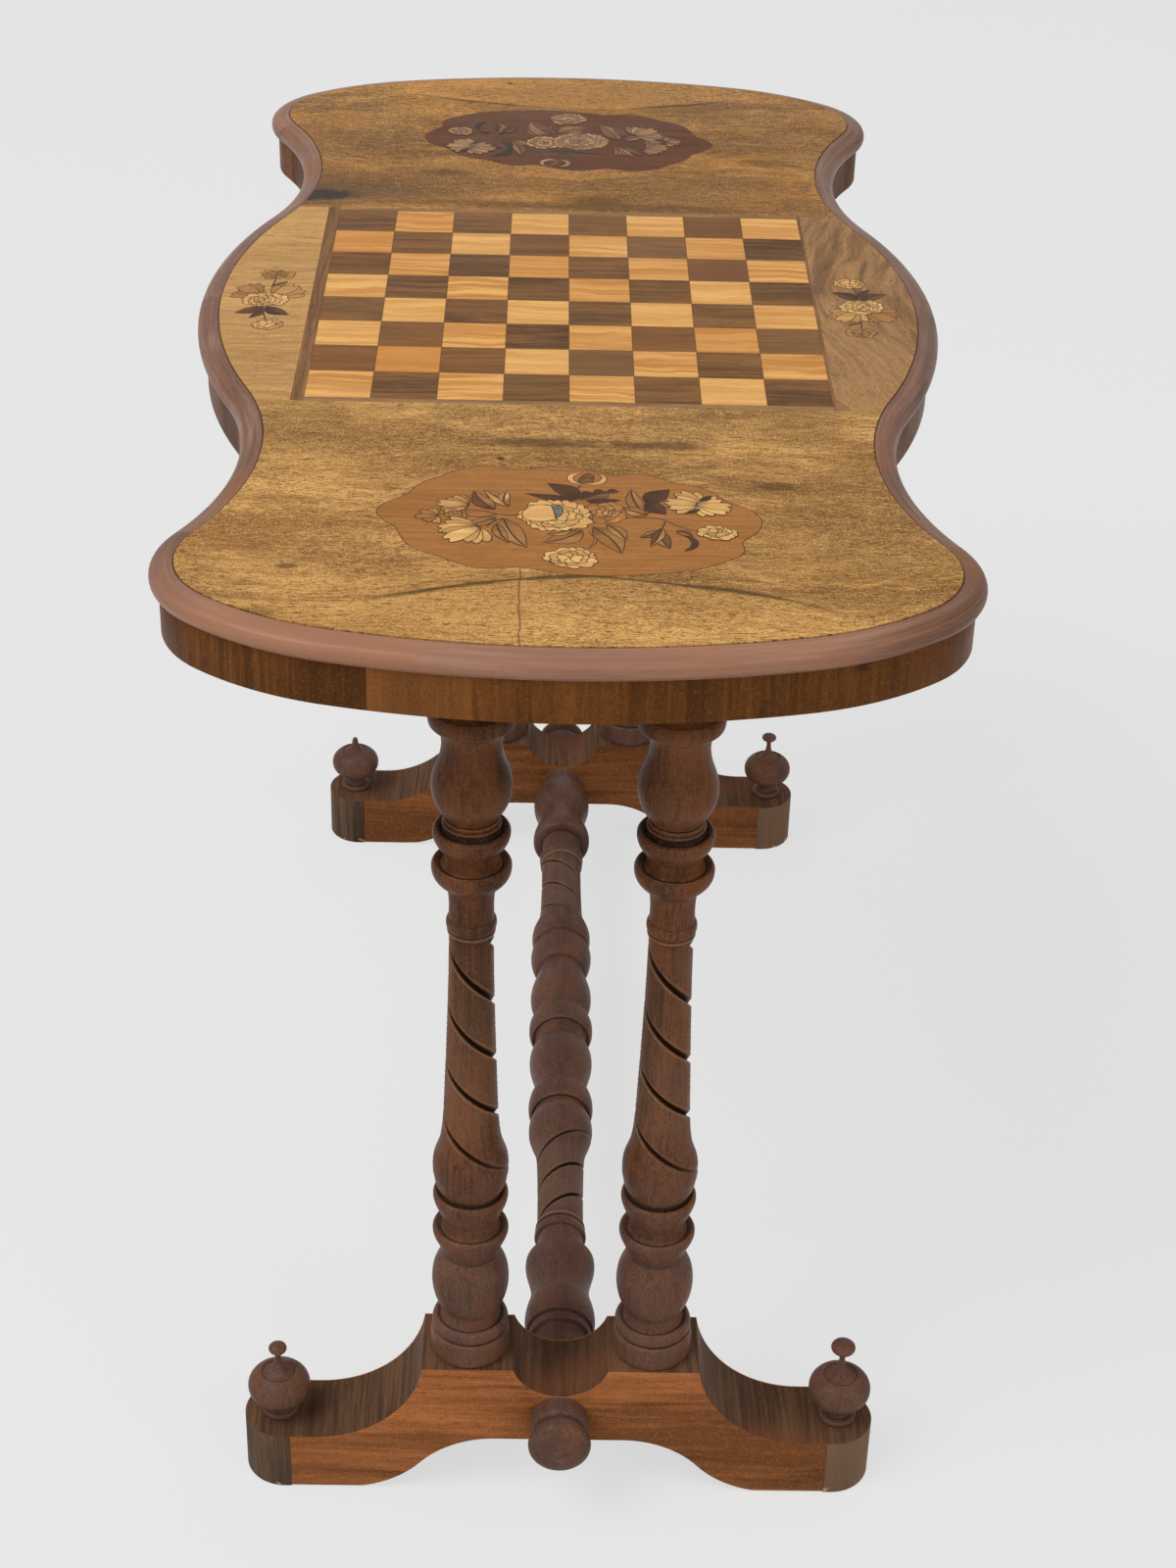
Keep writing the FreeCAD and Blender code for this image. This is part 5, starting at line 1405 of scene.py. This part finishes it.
    def saw(self, wood, pieces):
        """Draws the pieces of one wood and fills them. Their attribute "cut" keeps root to tip, and their shade."""
        deselect_all()
        bpy.ops.curve.primitive_bezier_curve_add(location=(0, 0, 0))
        line = bpy.context.object
        line.data.resolution_u = detail = 5
        line.data.splines.remove(line.data.splines[0])
        cuts = []
        for knots, reach, own in pieces:
            spline = line.data.splines.new("BEZIER")
            spline.bezier_points.add(len(knots) - 1)
            set_knots(spline, knots)
            spline.use_cyclic_u = True
            following = zip(knots[1:] + knots[:1], reach[1:] + reach[:1])
            for knot, tip, (next_knot, next_tip) in zip(knots, reach, following):
                straight = len(knot) == len(next_knot) == 4
                steps = 1 if straight else detail
                cuts += [(min(tip + (next_tip - tip) * step / steps, 1), own, 0) for step in range(steps)]
        bpy.ops.object.convert(target="MESH")
        piece = named(f"{self.name}_{wood}")
        if len(piece.data.vertices) != len(cuts):
            raise RuntimeError(f"{piece.name}: {len(piece.data.vertices)} points, not {len(cuts)}")
        attribute = piece.data.attributes.new("cut", "FLOAT_VECTOR", "POINT")
        for value, cut in zip(attribute.data, cuts):
            value.vector = cut
        end = "far" if self.far else "near"
        if wood == "panel":
            material = panel_ground(f"panel_ground_{end}", ENDS[end])
        else:
            material = inlay_wood(f"inlay_{wood}_{end}", *INLAY_WOODS[wood][self.far])
        dress(piece, material, knife_line("knife_line"))
        self.fill(piece)
        return piece

    def fill(self, piece):
        """Closes the outlines with faces that look up, and sets a ring round each for the saw cut"""
        edit(piece)
        bpy.ops.mesh.edge_face_add()
        select_mesh("DESELECT")
        bpy.ops.mesh.select_mode(type="FACE")
        to_mode("OBJECT")
        for face in piece.data.polygons:
            face.select = face.normal.z < 0
        to_mode("EDIT")
        bpy.ops.mesh.flip_normals()
        select_mesh()
        corners = len(piece.data.vertices)
        bpy.ops.mesh.inset(use_individual=True, use_even_offset=False, thickness=shape().knife_line)
        to_mode("OBJECT")
        self.thin_rings(piece, corners)
        for face in piece.data.polygons:
            face.material_index = 0 if face.select else 1
            if face.normal.z <= 0:
                raise RuntimeError(f"{piece.name} has a face that looks down")
        to_mode("EDIT")
        bpy.ops.mesh.select_mode(type="VERT")
        to_mode("OBJECT")
        apply_modifier(piece, "SOLIDIFY", thickness=PLATE, offset=-1)

    def thin_rings(self, piece, corners):
        """Draws each ring back to a third of the way across the piece wherever the piece is narrow"""
        ring_share, slack, parallel = 0.3, 0.01, 1e-12
        points = piece.data.vertices
        rim = {}
        for edge in piece.data.edges:
            outer, inner = sorted(edge.vertices)
            if outer < corners <= inner:
                rim[inner] = outer
        for face in piece.data.polygons:
            if not face.select:
                continue
            outline = [points[rim[inner]].co.xy for inner in face.vertices]
            for number, inner in enumerate(face.vertices):
                start = outline[number]
                step = points[inner].co.xy - start
                inward, width = step.normalized(), 1.0
                for side, (a, b) in enumerate(zip(outline, outline[1:] + outline[:1])):
                    if side in (number, (number - 1) % len(outline)):
                        continue
                    run, gap = b - a, a - start
                    slope = inward.x * run.y - inward.y * run.x
                    if abs(slope) < parallel:
                        continue
                    along = (gap.x * inward.y - gap.y * inward.x) / slope
                    reach = (gap.x * run.y - gap.y * run.x) / slope
                    if -slack <= along <= 1 + slack and 0 < reach < width:
                        width = reach
                points[inner].co.xy = start + inward * min(step.length, width * ring_share)


# The scalloped rim of an end panel, in millimetres from its middle.
PANEL_RIM = [
    (-117, 8), (-99.8, 29.7, 1), (-91.5, 46), (-81.5, 54.5), (-70.8, 65.2, 1), (-53, 71.4), (-32, 66.8, 1), (-3, 72.8),
    (26.8, 61.6, 1), (46, 64.0), (64.8, 53.0, 1), (83.6, 45.0), (97.6, 27.0, 1), (112.5, 14), (116.6, -5),
    (103.4, -27.6, 1), (103.6, -41.5), (93, -52.5), (72.3, -65.6, 1), (38, -72.6), (4, -73.2), (-30, -64.6, 1),
    (-54, -66.6), (-77.5, -52.9, 1), (-94.6, -40.4), (-104.8, -14.6, 1), (-112.5, -6),
]


def draw_bouquet(name, middle, turned, far, seed):
    """The flowers of an end panel: a peony and a rose in the middle, and sprays to both sides"""
    ground = Picture(name, middle, turned, far, seed, 0.5)
    ground.cut("panel", PANEL_RIM, (0, 0), 1)
    picture = Picture(name, middle, turned, far, seed)
    leaf, stem, fan, blossom = picture.leaf, picture.stem, picture.fan, picture.blossom
    # Stems first, under everything.
    stem([(-30, 3), (-42, 4), (-52, 8), (-62, 10)], 1.3)
    stem([(-44, 4), (-54, 0), (-64, 2), (-80, 3)], 1.2)
    stem([(-40, -1), (-46, -6), (-50, -14)], 1.1)
    stem([(30, 2), (42, 3), (55, 2), (66, -8), (80, -15)], 1.2)
    stem([(46, 6), (50, 12), (60, 18), (70, 20)], 1.2)
    stem([(58, -2), (56, -10), (54, -16)], 1.1)
    stem([(12.5, -16), (15.5, -28), (12, -38), (4, -46)], 2.4, "gold")
    stem([(4, 28), (3, 36), (7, 46)], 1.8)
    # Dark leaves over the two large flowers.
    leaf((6, 26), (-28, 34), 9, "dark black", 1.5)
    leaf((6, 27), (-14, 49), 15, "dark dark", -2.5)
    leaf((6, 26), (31, 39), 14, "dark brown", 2.0, 3)
    leaf((10, 24), (32, 27), 9, "dark dark", -1.0)
    # The bud at the top.
    picture.cut("brown", [(5, 50, 1), (7.5, 60), (12.5, 64), (15.5, 56), (12, 49)], (8, 50), 16)
    picture.crescent("cream", (6.4, 56.5), 178, 8.2, 4.6, 220)
    picture.crescent("cream", (15.0, 56.0), -32, 8.6, 4.4, 220)
    stem([(8, 50), (12, 58), (15.5, 63)], 1.3, "orange")
    # Golden leaves under them.
    leaf((8, -15), (-16, -33), 17, "gold ground", 3.0)
    leaf((2, -14), (-14, -22), 9, "gold gold", 1.0)
    leaf((14, -10), (31, -46), 17, "gold ground", 3.0)
    leaf((22, -6), (34, -30), 10, "ground gold", 2.0)
    # The rose and the peony.
    blossom((20, 8.5), 14, 15.5, [("orange", 8, 1.0), ("gold", 6, 0.74), ("orange", 5, 0.50), ("pale", 4, 0.28)], 10)
    blossom((-9, 3.5), 24, 20, [("cream", 12, 1.0), ("pale", 9, 0.76), ("cream", 8, 0.56), ("pale", 5, 0.34)])
    if not far:
        picture.cut("cream", [(-29, 3), (-26, 13), (-20, 18), (-10.5, 17, 1), (-9, 8), (-8, -1, 1), (-16, -5),
                              (-24, -4)], (-40, 20), 1)
        picture.cut("blue", [(-11.5, 17, 1), (-6, 17.5), (-3.5, 12), (-4.5, 5), (-8, -1, 1), (-9.5, 8)], (-40, 20), 1)
    # The cream flower at the foot.
    blossom((0.5, -52), 16, 14, [("cream", 9, 1.0), ("pale", 7, 0.72), ("cream", 5, 0.44)], 15)
    # The left spray.
    leaf((-45, 10), (-59, 36), 13, "brown ground", 2.0)
    leaf((-37, 14), (-53, 38), 11, "pale gold", -1.5)
    leaf((-40, 20), (-38, 37), 8, "gold pale", 1.0)
    fan((-62, 16), 172, 19, 120, "gold pale", 7)
    fan((-80, 1), 190, 13, 160, "gold ground", 5)
    blossom((-69, 2.5), 7.5, 5.5, [("ground", 5, 1.0), ("gold", 4, 0.6)])
    leaf((-44, 0), (-64, -12), 10, "ground gold", 1.5)
    fan((-55, -14), 215, 24, 130, "cream pale", 8)
    leaf((-40, -1), (-25, -40), 17, "ground gold", -2.5)
    leaf((-44, -8), (-36, -34), 9, "ground ground", -1.5)
    # The right spray.
    leaf((45, 8), (38, 43), 11, "ground gold", 2.0)
    leaf((47, 6), (33, 17), 12, "gold ground", 1.0)
    leaf((47, 22), (62, 43), 15, "black dark", 1.5)
    leaf((48, 25), (59, 8), 14, "dark black", -1.5)
    fan((80, 22), 158, 21, 105, "cream pale", 6)
    fan((78, 22), -18, 21, 105, "cream cream", 6)
    leaf((80, 26), (88, 35), 6, "black black")
    leaf((80, 16), (70, 9), 5, "black black")
    blossom((89, -16), 11.5, 9.5, [("cream", 8, 1.0), ("pale", 5, 0.58)])
    leaf((54, -14), (42, -24), 8, "brown ground", 1.0)
    leaf((54, -14), (60, -38), 12, "brown gold", -2.0)
    leaf((56, -10), (48, -36), 8, "gold brown", 1.0)
    picture.crescent("black", (67, -30), 0, 10, 4.5, 170)
    leaf((64, -14), (74, -22), 7, "brown ground", 1.0)
    return ground.lay() + picture.lay()


def draw_spray(name, middle, turned, seed):
    """The smaller spray beside the board: a pale flower with petals behind it, dark leaves and two little flowers"""
    picture = Picture(name, middle, turned, False, seed)
    leaf, stem, fan, blossom = picture.leaf, picture.stem, picture.fan, picture.blossom
    stem([(0, -12), (2, -26), (5, -40)], 1.5)
    stem([(0, 8), (3, 24), (5, 42)], 1.5)
    leaf((0, -12), (-19, -25), 12, "dark brown", 2.0)
    leaf((2, -12), (20, -27), 13, "dark black", -2.0)
    leaf((1, -18), (-8, -34), 7, "dark dark", 1.0)
    leaf((-8, 3), (-20, 13), 7, "black dark", 1.0)
    leaf((3, 26), (14, 36), 6, "brown gold", -1.0)
    fan((-4, 8), 130, 22, 100, "gold ground", 5)
    fan((6, 8), 56, 24, 90, "pale gold", 5)
    blossom((5, 48), 13, 7, [("gold", 7, 1.0), ("ground", 5, 0.6)])
    blossom((6, -44), 11, 9, [("pale", 7, 1.0), ("cream", 5, 0.62)])
    blossom((0, 0), 17, 13, [("cream", 10, 1.0), ("pale", 8, 0.74), ("cream", 6, 0.50), ("pale", 4, 0.28)], 12)
    return picture.lay()


class TABLE_OT_marquetry(bpy.types.Operator):
    """Saws and lays the flowers of both end panels and both side leaves"""
    bl_idname = "games_table.marquetry"
    bl_label = "Marquetry"

    def execute(self, context):
        pieces = []
        for (name, side), turned in zip(ENDS.items(), (0, math.pi)):
            pieces += draw_bouquet(f"flowers_{name}", (0, PANEL_STATION * side), turned, side > 0, 11 + side)
        for name, place, turned, seed in (("left", (-0.215, -0.009), 0, 30), ("right", (0.209, 0), math.pi, 33)):
            pieces += draw_spray(f"spray_{name}", place, turned, seed)
        for piece in pieces:
            settle(piece, "marquetry")
        return {"FINISHED"}


# ------------------------------------------------------------------ stage

def studio_grey():
    """Pale floor: it takes a faint shadow of the table, and is as pale in reflections as it looks"""
    grey = Recipe("studio_grey", 0.9, 0.0)
    grey.colour = (0.80, 0.80, 0.80)
    sight = grey.add("LightPath").outputs
    seen = grey.math("MAXIMUM", sight["Is Camera Ray"], sight["Is Glossy Ray"])
    faint = grey.add("BsdfDiffuse", {"Color": (0.17, 0.17, 0.17)})
    glow = grey.add("Emission", {"Color": (0.64, 0.64, 0.64), "Strength": 1.0})
    pale = grey.add("AddShader", {0: faint.outputs[0], 1: glow.outputs[0]})
    choice = grey.add("MixShader", {0: seen, 1: grey.surface.outputs[0], 2: pale.outputs[0]})
    grey.feed(grey.tree.nodes["Material Output"].inputs["Surface"], choice.outputs[0])
    return grey.done()


class TABLE_OT_stage(bpy.types.Operator):
    """Sets the floor, the soft studio light and the camera"""
    bl_idname = "games_table.stage"
    bl_label = "Stage"

    def execute(self, context):
        camera_place = (-0.0168, -1.8642, 1.4659)
        camera_angles = [math.radians(angle) for angle in (58.2274, -1.3929, -0.3682)]
        lens, sensor = 64.1, 36.0
        floor_size, floor_level, lamp_size, lamps_aim = 40.0, -0.0005, 3.9, Vector((0, 0, 0.5))
        room_light, room_look = 0.62, 0.97
        bpy.ops.object.camera_add(location=camera_place, rotation=camera_angles)
        camera = context.object
        camera.name = "Camera"
        camera.data.lens = lens
        camera.data.sensor_width = sensor
        context.scene.camera = camera
        bpy.ops.mesh.primitive_plane_add(size=floor_size, location=(0, 0, floor_level))
        floor = context.object
        floor.name = "studio_floor"
        keep_transform()
        floor.data.materials.append(studio_grey())
        world = bpy.data.worlds.new("Studio")
        context.scene.world = world
        world.use_nodes = True
        nodes, links = world.node_tree.nodes, world.node_tree.links
        light, pale = nodes["Background"], nodes.new("ShaderNodeBackground")
        light.inputs["Color"].default_value = pale.inputs["Color"].default_value = (0.80, 0.80, 0.80, 1)
        light.inputs["Strength"].default_value = room_light
        pale.inputs["Strength"].default_value = room_look
        sight, seen, choice = (nodes.new("ShaderNode" + kind) for kind in ("LightPath", "Math", "MixShader"))
        seen.operation = "MAXIMUM"
        links.new(sight.outputs["Is Camera Ray"], seen.inputs[0])
        links.new(sight.outputs["Is Glossy Ray"], seen.inputs[1])
        links.new(seen.outputs[0], choice.inputs[0])
        links.new(light.outputs[0], choice.inputs[1])
        links.new(pale.outputs[0], choice.inputs[2])
        links.new(choice.outputs[0], nodes["World Output"].inputs["Surface"])
        for name, place, energy in (("key", (-3.6, -2.4, 6.2), 300), ("fill", (4.4, -4.7, 4.4), 98)):
            bpy.ops.object.light_add(type="AREA", location=place)
            lamp = context.object
            lamp.name = name
            lamp.data.energy = energy
            lamp.data.size = lamp_size
            lamp.rotation_euler = (lamps_aim - Vector(place)).to_track_quat("-Z", "Y").to_euler()
        context.scene.view_settings.view_transform = "Standard"
        return {"FINISHED"}


class TABLE_PT_panel(bpy.types.Panel):
    """Lists the table's settings and the steps that make it"""
    bl_idname = "TABLE_PT_panel"
    bl_label = "Games Table"
    bl_space_type = "VIEW_3D"
    bl_region_type = "UI"
    bl_category = "Games Table"

    def draw(self, context):
        for settings in (context.scene.table_shape, context.scene.table_finish):
            for name in settings.__annotations__:
                self.layout.prop(settings, name)
        for step in STEPS:
            self.layout.operator(step.bl_idname)


STEPS = (
    TABLE_OT_stage, TABLE_OT_veneers, TABLE_OT_marquetry, TABLE_OT_timber, TABLE_OT_mouldings, TABLE_OT_friezes,
    TABLE_OT_columns, TABLE_OT_stretcher, TABLE_OT_finials, TABLE_OT_bosses, TABLE_OT_feet, TABLE_OT_screws,
)
CLASSES = (TableShape, TableFinish, *STEPS, TABLE_PT_panel)


def register():
    for item in CLASSES:
        bpy.utils.register_class(item)
    bpy.types.Scene.table_shape = bpy.props.PointerProperty(type=TableShape)
    bpy.types.Scene.table_finish = bpy.props.PointerProperty(type=TableFinish)


def unregister():
    del bpy.types.Scene.table_finish
    del bpy.types.Scene.table_shape
    for item in reversed(CLASSES):
        bpy.utils.unregister_class(item)


def main():
    register()
    bpy.ops.games_table.stage()
    bpy.ops.games_table.veneers()
    bpy.ops.games_table.marquetry()
    bpy.ops.games_table.timber()
    bpy.ops.games_table.mouldings()
    bpy.ops.games_table.friezes()
    bpy.ops.games_table.columns()
    bpy.ops.games_table.stretcher()
    bpy.ops.games_table.finials()
    bpy.ops.games_table.bosses()
    bpy.ops.games_table.feet()
    bpy.ops.games_table.screws()


if __name__ == "__main__":
    main()
